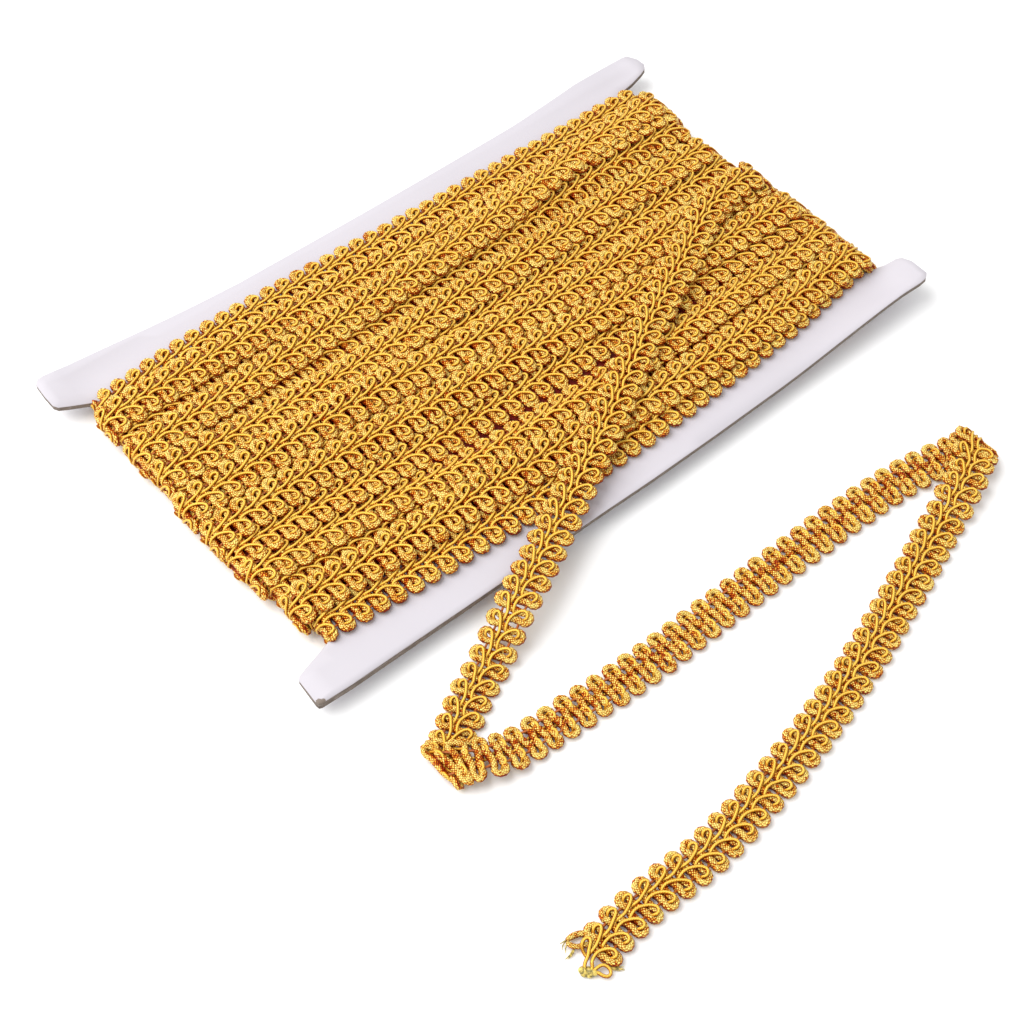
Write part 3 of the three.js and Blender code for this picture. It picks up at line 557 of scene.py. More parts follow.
def cord_tree():
    """Geometry nodes: repeats one stretch of cord and lays it along the braid's middle line.

    The geometry that comes in is the middle line. Its attributes left, right and up say
    which way each half of the braid spreads there, and which way its face looks.
    """
    t = new_group("Cord along the braid", "GeometryNodeTree", (
        ("Geometry", "Geometry"), ("Repeat", "Object"), ("Pitch", "Float", PITCH * MM),
        ("Start", "Float", 0.0), ("Count", "Int", 10), ("Thickness", "Float", 1.9 * MM),
        ("Sides", "Int", 6), ("Unevenness", "Float", 0.4 * MM), ("Seed", "Float", 0.0),
        ("Material", "Material"),
    ), (("Geometry", "Geometry"),))
    t.tree.is_modifier = True
    given = t.add("NodeGroupInput").outputs

    # The repeats in a row, joined end to end
    unit = t.add("GeometryNodeObjectInfo", {"Object": given["Repeat"]}).outputs["Geometry"]
    places = t.out("GeometryNodeMeshLine", {
        "Count": given["Count"],
        "Start Location": t.out("ShaderNodeCombineXYZ", {"X": given["Start"]}),
        "Offset": t.out("ShaderNodeCombineXYZ", {"X": given["Pitch"]}),
    }, mode="OFFSET")
    row = t.out("GeometryNodeInstanceOnPoints", {"Points": places, "Instance": unit})
    flat = t.out("GeometryNodeRealizeInstances", {"Geometry": row})
    joined = t.out("GeometryNodeMergeByDistance", {"Geometry": flat, "Distance": JOIN_GAP * MM})

    # Uneven course: a slow drift and a finer one
    where = t.out("GeometryNodeInputPosition")
    drifts = []
    for scale, share in DRIFTS:
        noise = t.add("ShaderNodeTexNoise", {
            "Vector": where, "W": given["Seed"], "Scale": scale, "Detail": 1.0,
        }, noise_dimensions="4D")
        centred = t.vectors("SUBTRACT", noise.outputs["Color"], (0.5, 0.5, 0.5))
        drifts.append(t.scaled(centred, t.maths("MULTIPLY", given["Unevenness"], share * 2)))
    strayed = t.vectors("ADD", where, t.vectors("ADD", *drifts))
    parts = t.add("ShaderNodeSeparateXYZ", {0: strayed}).outputs

    # The middle line there
    line = t.out("GeometryNodeMeshToCurve", {"Mesh": given["Geometry"]})

    def along_line(name):
        return t.add("GeometryNodeSampleCurve", {
            "Curves": line, "Value": t.named(name, "FLOAT_VECTOR"), "Length": parts["X"],
        }, data_type="FLOAT_VECTOR", mode="LENGTH", use_all_curves=True).outputs

    left, right, up = along_line("left"), along_line("right"), along_line("up")
    is_left = t.out("FunctionNodeCompare", {0: parts["Y"], 1: 0.0},
                    data_type="FLOAT", operation="GREATER_THAN")
    across = t.out("GeometryNodeSwitch", {
        "Switch": is_left, "False": right["Value"], "True": left["Value"],
    }, input_type="VECTOR")
    offset = t.vectors("ADD", t.scaled(across, parts["Y"]), t.scaled(up["Value"], parts["Z"]))
    laid = t.out("GeometryNodeSetPosition", {
        "Geometry": t.stored(joined, "face", up["Value"], "FLOAT_VECTOR"),
        "Position": t.vectors("ADD", offset, left["Position"]),
    })

    # The cord itself, with what its finish needs
    girth = t.named("girth", "FLOAT")
    thickness = t.maths("MULTIPLY", girth, given["Thickness"])
    sized = t.out("GeometryNodeSetCurveRadius", {
        "Curve": t.out("GeometryNodeMeshToCurve", {"Mesh": laid}),
        "Radius": t.maths("MULTIPLY", thickness, 0.5),
    })
    length = t.add("GeometryNodeSplineParameter").outputs["Length"]
    circle = t.out("GeometryNodeCurvePrimitiveCircle", {
        "Resolution": given["Sides"], "Radius": 1.0,
    })
    spot = t.out("GeometryNodeInputPosition")
    tube = t.out("GeometryNodeCurveToMesh", {
        "Curve": t.stored(sized, "along", length, "FLOAT"),
        "Profile Curve": t.stored(circle, "ring", spot, "FLOAT_VECTOR"),
        "Scale": t.out("GeometryNodeInputRadius"), "Fill Caps": True,
    })
    # The rise also tells the finishes where to paint shade, at a cord's sides, and a highlight,
    # on its top
    face = t.named("face", "FLOAT_VECTOR")
    rise = t.measured("DOT_PRODUCT", t.out("GeometryNodeInputNormal"), face)

    # Where the cord is pressed wider it stays as flat as elsewhere
    wider = t.maths("MAXIMUM", t.maths("SUBTRACT", girth, 1.0), 0.0)
    excess = t.maths("MULTIPLY", wider, given["Thickness"])
    lowered = t.maths("MULTIPLY", t.maths("MULTIPLY", excess, rise), -0.5)
    pressed = t.out("GeometryNodeSetPosition", {
        "Geometry": t.stored(tube, "rise", rise, "FLOAT"), "Offset": t.scaled(face, lowered),
    })

    # Nothing sinks into the surface that the trim lies on
    now = t.add("ShaderNodeSeparateXYZ", {0: t.out("GeometryNodeInputPosition")}).outputs
    above = t.out("ShaderNodeCombineXYZ", {
        "X": now["X"], "Y": now["Y"], "Z": t.maths("MAXIMUM", now["Z"], 0.0),
    })
    resting = t.out("GeometryNodeSetPosition", {"Geometry": pressed, "Position": above})
    smooth = t.out("GeometryNodeSetShadeSmooth", {"Geometry": resting})
    real = t.out("GeometryNodeRealizeInstances", {"Geometry": smooth})
    done = t.out("GeometryNodeSetMaterial", {"Geometry": real, "Material": given["Material"]})
    t.add("NodeGroupOutput", {0: done})
    return t.tree


# Finishes


def turns_round(t):
    """How far round a cord a spot lies, in turns."""
    side = t.add("ShaderNodeSeparateXYZ", {0: t.attribute("ring", "Vector")}).outputs
    return t.maths("MULTIPLY", t.maths("ARCTAN2", side["Y"], side["X"]), 1 / math.tau)


def ridges(t, phase):
    """One ridge for each whole step of a phase: 0 in the grooves and 1 on top."""
    return t.maths("ABSOLUTE", t.maths("SINE", t.maths("MULTIPLY", phase, math.pi)))


def facets_group():
    """Shader group: crossing turns of crimped metal thread, as beads of uneven brightness."""
    t = new_group("Crimped facets", "ShaderNodeTree", (
        ("Size", "Float", 0.6 * MM), ("Girth", "Float", 7.4 * MM),
    ), (("Brightness", "Float"), ("Height", "Float")))
    given = t.add("NodeGroupInput").outputs
    where = t.object_place()
    scale = t.maths("DIVIDE", 1.0, given["Size"])
    cells = t.add("ShaderNodeTexVoronoi", {"Vector": where, "Scale": scale}).outputs["Color"]
    tone = t.add("ShaderNodeSeparateColor", {0: cells}).outputs
    count = t.maths("ROUND", t.maths("DIVIDE", given["Girth"], given["Size"]))
    turns = t.maths("MULTIPLY", turns_round(t), count)
    laid = t.maths("DIVIDE", t.attribute("along"), given["Size"])
    grain = t.noise(where, scale, detail=2.0, roughness=0.6)
    strayed = t.maths("MULTIPLY_ADD", grain, FACET_STRAY, laid)
    # Beads: bright on their tops and dark in the grooves between them; the finishes paint glints
    # and shade from this
    beads = t.maths("MINIMUM", *(
        ridges(t, t.maths(way, strayed, turns)) for way in ("ADD", "SUBTRACT")
    ))
    uneven = t.maths("MULTIPLY_ADD", tone[0], *FACET_TONES)
    t.add("NodeGroupOutput", {
        0: t.maths("MULTIPLY", t.maths("POWER", beads, FACET_POWER), uneven),
        1: t.maths("ADD", beads, tone[1]),
    })
    return t.tree


def strands_group():
    """Shader group: strands twisted round a cord, as ridges with grooves between them."""
    t = new_group("Twisted strands", "ShaderNodeTree", (
        ("Strands", "Float", 3.0), ("Lay", "Float", 1.6 * MM),
    ), (("Ridge", "Float"),))
    given = t.add("NodeGroupInput").outputs
    laid = t.maths("DIVIDE", t.attribute("along"), given["Lay"])
    both = t.maths("ADD", turns_round(t), laid)
    phase = t.maths("MULTIPLY", both, given["Strands"])
    t.add("NodeGroupOutput", {0: ridges(t, phase)})
    return t.tree


def lighter(colour, share):
    return tuple(c + (1 - c) * share for c in colour)


def darker(colour, share):
    return tuple(c * (1 - share) for c in colour)


class Finish(Nodes):
    """A material, with its nodes and the inputs of its principled shader."""

    def __init__(self, name, roughness, metallic=0.0):
        self.material = bpy.data.materials.new(name)
        self.material.use_nodes = True
        super().__init__(self.material.node_tree)
        shader = next(node for node in self.tree.nodes if node.type == "BSDF_PRINCIPLED")
        self.shader = shader.inputs
        self.shader["Roughness"].default_value = roughness
        self.shader["Metallic"].default_value = metallic

    def colour(self, value):
        self.tree.links.new(value, self.shader["Base Color"])

    def tint(self, colour):
        self.shader["Specular Tint"].default_value = (*colour, 1.0)

    def ramp(self, value, *stops):
        """A colour ramp through the given (place, colour) stops."""
        node = self.add("ShaderNodeValToRGB", {0: value})
        elements = node.color_ramp.elements
        for place, _ in stops[2:]:
            elements.new(place)
        for element, (place, colour) in zip(elements, stops):
            element.position = place
            element.color = (*colour, 1.0)
        return node.outputs[0]

    def bump(self, height, depth, strength=1.0, **under):
        """Feeds a height in millimetres into the shader's normal."""
        normal = self.out("ShaderNodeBump", {
            "Height": height, "Distance": depth * MM, "Strength": strength, **under,
        })
        self.tree.links.new(normal, self.shader["Normal"])
        return normal

    def group(self, tree, **inputs):
        """A shader group with its values, and its outputs."""
        values = {name.capitalize(): value for name, value in inputs.items()}
        return self.add("ShaderNodeGroup", values, node_tree=tree).outputs

    def rise(self):
        """0 at a cord's sides, which face other cords, and 1 at its top and its underside."""
        # The finishes paint shade at the sides and a highlight on the top by this
        return self.maths("ABSOLUTE", self.attribute("rise"))


def tinsel_material(braid, facets):
    """Crimped facets with painted glints; painted shade at the cord's sides and where pressed
    wider.
    """
    made = Finish("crinkled metallic cord", roughness=0.3, metallic=0.2)
    facet = made.group(facets, size=1.05 * MM, girth=math.pi * braid.tinsel_thickness)
    # Painted shade: darker at the cord's sides, which face other cords, and where the cord is
    # pressed wider in the braid's middle under the satin
    shade = made.span(made.rise(), (0.0, 0.7), (0.22, 1.0))
    pressed = made.span(made.attribute("girth"), (1.0, 1.2), (1.0, 0.66))
    painted_shade_factor = made.maths("MULTIPLY", shade, pressed)
    # The ramp paints shade in the grooves and glints on the brightest facets
    made.colour(made.ramp(
        made.maths("MULTIPLY", facet["Brightness"], painted_shade_factor),
        (0.19, braid.tinsel_painted_shade), (0.29, braid.tinsel_middle), (0.38, braid.tinsel_bright),
        (0.58, braid.tinsel_painted_glint),
    ))
    made.tint(braid.tinsel_painted_glint)
    made.bump(facet["Height"], 0.28, 0.9)
    return made.material


def satin_material(braid, strands):
    """Smooth twisted strands, with painted shade at the cord's sides and a painted highlight on
    top.
    """
    made = Finish("satin cord", roughness=0.3, metallic=0.15)
    ridge = made.group(strands, strands=4.0, lay=3.2 * MM)["Ridge"]
    # The ramp paints shade at the sides and in the grooves between strands, and a highlight
    # along the top
    made.colour(made.ramp(
        made.maths("MULTIPLY_ADD", ridge, 0.22, made.rise()),
        (0.36, braid.satin_painted_shade), (0.78, braid.satin_middle), (1.0, braid.satin_painted_highlight),
    ))
    made.tint(braid.satin_painted_highlight)
    made.bump(ridge, 0.07, 0.8)
    return made.material


def thread_material(braid):
    """Dull thread, mottled finely."""
    made = Finish("binding thread", roughness=0.5)
    mottle = made.noise(made.object_place(), 1500.0)
    colour = braid.thread_colour
    made.colour(made.ramp(mottle, (0.3, darker(colour, 0.5)), (0.7, colour)))
    return made.material


def fused_material(braid):
    """The melted lump at the cut end and the fibres beside it."""
    made = Finish("fused cut end", roughness=0.35)
    mottle = made.noise(made.object_place(), 1300.0, detail=3.0)
    pale = braid.fused_colour
    made.colour(made.ramp(
        mottle, (0.36, darker(pale, 0.75)), (0.48, darker(pale, 0.4)), (0.60, pale)
    ))
    made.bump(mottle, 0.5)
    return made.material


def inner_painted_shade_material(braid, facets):
    """The turns underneath, of which only gaps show, in painted shade."""
    made = Finish("inner turns", roughness=0.6)
    facet = made.group(facets, size=1.1 * MM, girth=math.pi * braid.tinsel_thickness)
    deep = braid.tinsel_painted_shade
    # Painted shade: only very dark versions of the crinkled cord's shade colour, so that the
    # gaps between the rows look shaded
    made.colour(made.ramp(
        facet["Brightness"],
        (0.25, darker(deep, 0.85)), (0.6, darker(deep, 0.7)), (0.95, darker(deep, 0.5)),
    ))
    made.shader["Specular IOR Level"].default_value = 0.15
    made.bump(facet["Height"], 0.6)
    return made.material


def paper_material(card):
    """White paper with soft cloudiness, worn through to the board at one corner."""
    made = Finish("white card paper", roughness=0.62)
    where = made.object_place()
    slow = made.noise(where, 14.0, detail=3.0)
    fine = made.noise(where, 900.0, detail=3.0, roughness=0.7)
    tone = made.ramp(slow, (0.3, darker(card.paper, 0.05)), (0.7, card.paper))
    flat = made.vectors("MULTIPLY", where, (1, 1, 0))
    away = made.measured("DISTANCE", flat, tuple(to_metres((*WORN_CORNER, 0))))
    ragged = made.maths("MULTIPLY_ADD", fine, WORN_RAGGEDNESS * MM, away)
    worn = made.add("ShaderNodeMix", {
        "Factor": made.maths("GREATER_THAN", ragged, WORN_REACH * MM),
        "A": (*card.board, 1.0), "B": tone,
    }, data_type="RGBA")
    made.colour(worn.outputs["Result"])
    under = made.bump(slow, 0.5, 0.25)
    made.bump(fine, 0.04, 0.4, Normal=under)
    return made.material


def board_material(card):
    """Grey board at its cut edges: thin grey-brown layers with torn fibres."""
    made = Finish("grey board edge", roughness=0.85)
    layers = made.out("ShaderNodeMapping", {
        "Vector": made.object_place(), "Scale": (1, 1, 9),
    })
    torn = made.noise(layers, 380.0, detail=4.0, roughness=0.65)
    board = card.board
    made.colour(made.ramp(
        torn, (0.3, darker(board, 0.55)), (0.55, board), (0.78, lighter(board, 0.25))
    ))
    made.bump(torn, 0.25, 0.8)
    return made.material


# Courses of the rows and of the tail


def to_metres(points):
    return (np.asarray(points, float) + CARD_OFFSET) * MM


def unit_vectors(vectors):
    return vectors / np.linalg.norm(vectors, axis=-1, keepdims=True)


def eased(share):
    """A share from 0 to 1 that starts and ends slowly."""
    return share * share * (3 - 2 * share)


def walked_along(points):
    """Distance along a line at each of its points."""
    return np.append(0, np.cumsum(np.linalg.norm(np.diff(points, axis=0), axis=1)))


def smooth_line(points, step):
    """Points every step along a smooth curve through the given ones."""
    knots = np.asarray(points, float)
    padded = np.vstack((2 * knots[0] - knots[1], knots, 2 * knots[-1] - knots[-2]))
    fine = []
    for a, b, c, d in zip(padded, padded[1:], padded[2:], padded[3:]):
        gaps = [max(np.linalg.norm(q - p), 1e-6) ** 0.5 for p, q in ((a, b), (b, c), (c, d))]
        t0, t1, t2, t3 = np.cumsum([0.0, *gaps])
        t = np.linspace(t1, t2, CURVE_SAMPLES, endpoint=False)[:, None]
        ab = (t1 - t) / (t1 - t0) * a + (t - t0) / (t1 - t0) * b
        bc = (t2 - t) / (t2 - t1) * b + (t - t1) / (t2 - t1) * c
        cd = (t3 - t) / (t3 - t2) * c + (t - t2) / (t3 - t2) * d
        abc = (t2 - t) / (t2 - t0) * ab + (t - t0) / (t2 - t0) * bc
        bcd = (t3 - t) / (t3 - t1) * bc + (t - t1) / (t3 - t1) * cd
        fine.append((t2 - t) / (t2 - t1) * abc + (t - t1) / (t2 - t1) * bcd)
    fine = np.vstack((*fine, knots[-1:]))
    lengths = walked_along(fine)
    count = max(2, round(lengths[-1] / step) + 1)
    even = np.linspace(0, lengths[-1], count)
    return np.stack([np.interp(even, lengths, column) for column in fine.T], axis=1)


def station_line(values):
    """Y of a row or an edge as a function of X."""
    line = smooth_line(np.stack((ROW_STATIONS, values), axis=1), 1.0)
    return lambda x: np.interp(x, line[:, 0], line[:, 1])


def smoothed(values, reach):
    """Weighted mean over a window, the ends held."""
    window = np.hanning(2 * reach + 3)[1:-1]
    padded = np.pad(values, reach, mode="edge")
    return np.convolve(padded, window / window.sum(), mode="valid")


def greatest(values, reach):
    padded = np.pad(values, reach, mode="edge")
    return np.lib.stride_tricks.sliding_window_view(padded, 2 * reach + 1).max(axis=1)


def notch_x(side, y):
    """X of the notch on one side of the card."""
    return float(np.interp(y, (-NOTCH_SPAN, NOTCH_SPAN), NOTCH[side]))


def turn_reach(side, y):
    """How far the turns stand out past the notch on one side."""
    table = np.array(END_REACH)
    outermost = float(np.interp(y, table[:, 0], table[:, 1 if side < 0 else 2]))
    return abs(outermost - notch_x(side, y))


class Heights:
    """Grid of heights on which the rows settle one after another."""

    STEP_X, STEP_Y = 2.0, 0.5
    HALF_X, HALF_Y = 126, 80

    def __init__(self, base):
        self.x = np.arange(-self.HALF_X, self.HALF_X + 0.1, self.STEP_X)
        self.y = np.arange(-self.HALF_Y, self.HALF_Y + 0.1, self.STEP_Y)
        self.z = np.full((len(self.x), len(self.y)), base)

    def sample(self, x, y):
        u = np.clip((np.asarray(x) - self.x[0]) / self.STEP_X, 0, len(self.x) - 1.001)
        v = np.clip((np.asarray(y) - self.y[0]) / self.STEP_Y, 0, len(self.y) - 1.001)
        i, j = u.astype(int), v.astype(int)
        fu, fv = u - i, v - j
        low = self.z[i, j] * (1 - fv) + self.z[i, j + 1] * fv
        high = self.z[i + 1, j] * (1 - fv) + self.z[i + 1, j + 1] * fv
        return low * (1 - fu) + high * fu


def settle(heights, spine):
    """Lays a row on what is there. Returns the height of its middle and of both halves."""
    base = heights.z.min()
    y = spine(heights.x)

    def beneath(low, high):
        offsets = np.arange(low, high + 0.1, 1.0)
        found = heights.sample(heights.x[:, None], y[:, None] + offsets)
        support = 0.5 * found.max(axis=1) + 0.5 * found.mean(axis=1)
        return base + SETTLED_SHARE * (smoothed(support, SETTLING_REACH) - base)

    inner, outer = SIDE_SPAN
    middle, far, near = beneath(-2, 2), beneath(inner, outer), beneath(-outer, -inner)
    middle = np.maximum(middle, (far + near) / 2 - MIDDLE_SAG)
    far = np.clip(far, middle - MOST_TILT, middle + MOST_TILT)
    near = np.clip(near, middle - MOST_TILT, middle + MOST_TILT)
    half = BRAID_WIDTH / 2
    for i in range(len(heights.x)):
        across = heights.y - y[i]
        under = np.interp(across, (-half, -SIDE_MIDDLE, 0, SIDE_MIDDLE, half), (
            1.5 * near[i] - 0.5 * middle[i], near[i], middle[i], far[i],
            1.5 * far[i] - 0.5 * middle[i],
        ))
        crown = BRAID_THICKNESS * (1 - CROWN_DROP * np.abs(across / half) ** CROWN_POWER)
        top = np.where(np.abs(across) <= half, under + crown, -1)
        heights.z[i] = np.maximum(heights.z[i], top)
    return middle, far, near


def course(points, ups, tilts=(0, 0)):
    """Middle line with the directions that the cord tree reads."""
    points, ups = np.asarray(points, float), np.asarray(ups, float)
    tangent = unit_vectors(np.gradient(points, axis=0))
    across = unit_vectors(np.cross(ups, tangent))
    up = unit_vectors(np.cross(tangent, across))
    left_tilt, right_tilt = tilts
    left = across + up * np.reshape(left_tilt, (-1, 1))
    right = across - up * np.reshape(right_tilt, (-1, 1))
    return {"points": points, "left": left, "right": right, "up": up}


def end_turn(x, y, reach, low, top, angles):
    """Places and facings of a turn round an end of the card, at angles in degrees."""
    centre, rise = (top + low) / 2, (top - low) / 2
    for angle in np.radians(angles):
        cos, sin = math.cos(angle), math.sin(angle)
        yield (x + reach * cos, y, centre + rise * sin), (cos / reach, 0, sin / rise)


def row_course(spine, heights, layer):
    """A row from under the right end of the card, over it, to under the left end."""
    middle, far, near = settle(heights, spine)
    first = layer == "first"
    lifted = LIFTED if first else MIDDLE
    points, ups, tilts = [], [], []

    def add(place, up, left=0.0, right=0.0):
        points.append(place)
        ups.append(up)
        tilts.append((left, right))

    def bend(side, angles):
        y = float(spine(side * HALF_LENGTH))
        x_end = notch_x(side, y)
        top = float(np.interp(x_end, heights.x, middle)) + MIDDLE
        reach = turn_reach(side, y) - MIDDLE - (TUCKED_IN if first else 0.0)
        for place, up in end_turn(x_end, y, reach, lifted, top, angles):
            add(place, up)

    right_y, left_y = (float(spine(side * HALF_LENGTH)) for side in (1, -1))
    right_x, left_x = notch_x(1, right_y), notch_x(-1, left_y)
    for x in np.arange(right_x - HIDDEN_RUN, right_x - HIDDEN_GAP, HIDDEN_STEP):
        add((x, right_y, lifted), (0, 0, -1))
    bend(1, np.arange(-90, 89, TURN_STEP))
    for x in np.linspace(right_x, left_x, ROW_POINTS):
        y = float(spine(x))
        z, z_far, z_near = (float(np.interp(x, heights.x, h)) for h in (middle, far, near))
        add((x, y, z + MIDDLE), (0, 0, 1), (z_near - z) / SIDE_MIDDLE, (z_far - z) / SIDE_MIDDLE)
    bend(-1, np.arange(90 + TURN_STEP, 271, TURN_STEP))
    for x in np.arange(left_x + HIDDEN_STEP, left_x + HIDDEN_RUN, HIDDEN_STEP):
        add((x, left_y, lifted), (0, 0, -1))
    fade = [smoothed(column, TILT_FADE) for column in np.array(tilts).T]
    made = course(points, ups, fade)
    if not first:
        made["left"] *= ROW_SPREAD
        made["right"] *= ROW_SPREAD
    return made


def underside_course(y_left, y_right, height):
    """A row under the card, from its left end to its right end, face down."""
    x = np.linspace(notch_x(-1, y_left) + UNDERSIDE_GAP, notch_x(1, y_right) - UNDERSIDE_GAP,
                    UNDERSIDE_POINTS)
    y = y_left + (y_right - y_left) * eased((x - x[0]) / (x[-1] - x[0]))
    points = np.stack((x, y, np.full_like(x, height)), axis=1)
    return course(points, np.tile(-UP, (len(x), 1)))


def swung_to_creases(across, tangent, walked, index):
    """Directions across a run of the tail, brought in line with the creases at its ends."""
    for fold, distance in ((index - 1, walked), (index, walked[-1] - walked)):
        if not 0 <= fold < len(FOLDS):
            continue
        crease = np.array(FOLDS[fold][0])
        stretch = FOLD_SPREAD / np.abs(crease[0] * tangent[:, 1] - crease[1] * tangent[:, 0])
        share = 1 - eased(np.clip(distance / CREASE_TURN_LENGTH, 0, 1))
        share = share[:, None]
        across = across * (1 - share) + crease * stretch[:, None] * share
    return across


def tail_support(places, lower, heights):
    """Height of what lies under each place of a run: rows, card or the run before it."""
    x, y = places[..., 0], places[..., 1]
    if lower is None:
        on_rows = y > station_line(NEAR_EDGE)(x) - EDGE_SLACK
        over_card = (y > OVER_CARD[1]) & (x < OVER_CARD[0])
        return np.where(on_rows, heights.sample(x, y) + ROW_CLEARANCE,
                        np.where(over_card, CARD_TOP + DRAPE_CLEARANCE, 0.0))
    gaps = np.linalg.norm(places[:, :, None, :] - lower[None, None], axis=-1)
    close = gaps.min(axis=2) < BRAID_WIDTH / 2 + OVERLAP_MARGIN
    return np.where(close, BRAID_THICKNESS + FOLDED_GAP, 0.0)


def tail_course(heights):
    """The loose tail: up round the end, across the rows, down, and folded twice."""
    points, ups, across_all = [], [], []
    lower = None
    for index, (facing, line) in enumerate(TAIL_RUNS):
        flat = smooth_line(line, TAIL_STEP)
        tangent = unit_vectors(np.gradient(flat, axis=0))
        across = np.stack((-tangent[:, 1], tangent[:, 0]), axis=1) * facing
        across = swung_to_creases(across, tangent, walked_along(flat), index)
        offsets = np.linspace(-BRAID_WIDTH / 2, BRAID_WIDTH / 2, TAIL_OFFSETS)
        places = flat[:, None, :] + across[:, None, :] * offsets[None, :, None]
        support = tail_support(places, lower, heights).max(axis=1)
        reach = FOLDED_REACH if index else DRAPE_REACH
        under = smoothed(greatest(support, reach), reach + 2)
        lower = flat
        for k in range(1 if index else 0, len(flat)):
            points.append((*flat[k], under[k] + MIDDLE))
            ups.append((0, 0, facing))
            across_all.append((*across[k], 0))
        if index < len(FOLDS):
            outward = np.array((*FOLDS[index][1], 0.0))
            axis = np.array(points[-1]) + UP * MIDDLE
            for angle in np.radians(np.arange(FOLD_STEP, 180, FOLD_STEP)):
                away = outward * math.sin(angle) - UP * math.cos(angle)
                points.append(axis + outward * MIDDLE * math.sin(angle)
                              - UP * MIDDLE * math.cos(angle))
                ups.append(-facing * away)
                across_all.append((*across[-1], 0))

    # From under the card up round its right end
    x_end, y_end, reach = TAIL_BEND
    before = [
        ((x, y_end, MIDDLE), (0, 0, -1))
        for x in np.arange(x_end - TAIL_HIDDEN_RUN, x_end - HIDDEN_GAP, HIDDEN_STEP)
    ]
    before += end_turn(x_end, y_end, reach, MIDDLE, points[0][2],
                       np.arange(-90, 89, TURN_STEP))
    made = course([place for place, _ in before] + points, [up for _, up in before] + ups)
    for half in ("left", "right"):
        made[half][len(before):] = across_all
    return made


def curl(x, y, ranges):
    """Share that grows from 0 to 1 as X and Y go through their ranges."""
    share = 1.0
    for value, (low, high) in zip((abs(x), abs(y)), ranges):
        share *= eased(min(max((value - low) / (high - low), 0), 1))
    return share


def card_lift(x, y):
    lift = EAR_LIFT[(-1 if x < 0 else 1, -1 if y < 0 else 1)]
    return lift * max(curl(x, y, BORDER_CURL), curl(x, y, TIP_CURL))


# Meshes


def link(name, data):
    made = bpy.data.objects.new(name, data)
    bpy.context.scene.collection.objects.link(made)
    return made


def new_mesh(name, points, polygons, *materials):
    """A mesh of points given in millimetres in the card's frame."""
    mesh = bpy.data.meshes.new(name)
    mesh.from_pydata([tuple(p) for p in to_metres(points)], [], polygons)
    for material in materials:
        mesh.materials.append(material)
    return mesh


def line_object(name, points, attributes, edges=None):
    """A line as a mesh of vertices and edges, in metres, with vector or number attributes."""
    mesh = bpy.data.meshes.new(name)
    edges = [(i, i + 1) for i in range(len(points) - 1)] if edges is None else edges
    mesh.from_pydata([tuple(p) for p in points], edges, [])
    for key, values in attributes.items():
        values = np.asarray(values, np.float32)
        vector = values.ndim == 2
        made = mesh.attributes.new(key, "FLOAT_VECTOR" if vector else "FLOAT", "POINT")
        made.data.foreach_set("vector" if vector else "value", values.ravel())
    return link(name, mesh)


def chain_object(name, chains):
    """Stretches of cord as one line object, with the share of the cord's thickness."""
    points, girths, edges = [], [], []
    for chain in chains:
        start = len(points)
        points += [np.array(row[:3]) * MM for row in chain]
        girths += [row[3] for row in chain]
        edges += [(k, k + 1) for k in range(start, len(points) - 1)]
    return line_object(name, points, {"girth": girths}, edges)


def repeat_object(name, chains, keep=1):
    """One repeat of a cord as a line object. Each chain runs on into the next repeat."""
    closed = []
    for chain in chains:
        s, *rest = chain[0]
        onward = PITCH if chain[-1][0] > s else -PITCH
        closed.append((*chain[::keep], (s + onward, *rest)))
    return chain_object(name, closed)


def length_of(way):
    return np.linalg.norm(np.diff(way["points"], axis=0), axis=1).sum()


def lay_cord(name, way, chain, material, thickness, sides, seed, start, count, unevenness):
    """A finished mesh of one cord along a middle line."""
    tree = kit()["tree"]
    base = line_object(name, to_metres(way["points"]), {
        key: way[key] for key in ("left", "right", "up")
    })
    modifier = base.modifiers.new("cord", "NODES")
    modifier.node_group = tree
    values = {
        "Repeat": chain, "Pitch": PITCH * MM, "Start": start * MM, "Count": count,
        "Thickness": thickness, "Sides": sides, "Seed": seed, "Unevenness": unevenness,
        "Material": material,
    }
    for item in tree.interface.items_tree:
        if item.in_out == "INPUT" and item.name in values:
            modifier[item.identifier] = values[item.name]
    bpy.context.view_layer.update()
    evaluated = base.evaluated_get(bpy.context.evaluated_depsgraph_get())
    mesh = bpy.data.meshes.new_from_object(evaluated)
    if not mesh.polygons:
        raise RuntimeError(f"{name}: the cord tree made no faces")
    bpy.data.objects.remove(base)
    return mesh


def join_meshes(name, meshes, material):
    """One object of several meshes that share a material, their attributes kept."""
    parts = [link(f"{name}_part", mesh) for mesh in meshes]
    with bpy.context.temp_override(
        active_object=parts[0], object=parts[0], selected_objects=parts,
        selected_editable_objects=parts,
    ):
        if len(parts) > 1:
            bpy.ops.object.join()
    made = parts[0]
    made.name = name
    made.data.name = name
    made.data.materials.clear()
    made.data.materials.append(material)
    return made


def piece(obj, node):
    """Makes an object a piece of the trim, in place of its node."""
    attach(obj, "root")
    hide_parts(node)


class Kit:
    """Trees, repeats, finishes and heights that the operators share."""

    made = {}


def kit():
    if Kit.made:
        return Kit.made
    scene = bpy.context.scene
    facets, strands = facets_group(), strands_group()
    Kit.made.update({
        "tree": cord_tree(),
        "tinsel": tinsel_material(scene.trim_braid, facets),
        "satin": satin_material(scene.trim_braid, strands),
        "thread": thread_material(scene.trim_braid),
        "fused": fused_material(scene.trim_braid),
        "inner": inner_painted_shade_material(scene.trim_braid, facets),
        "heights": Heights(CARD_TOP + ROW_CLEARANCE),
    })
    for name, (chains, keep) in REPEATS.items():
        Kit.made[name] = repeat_object(name, chains, keep)
    return Kit.made


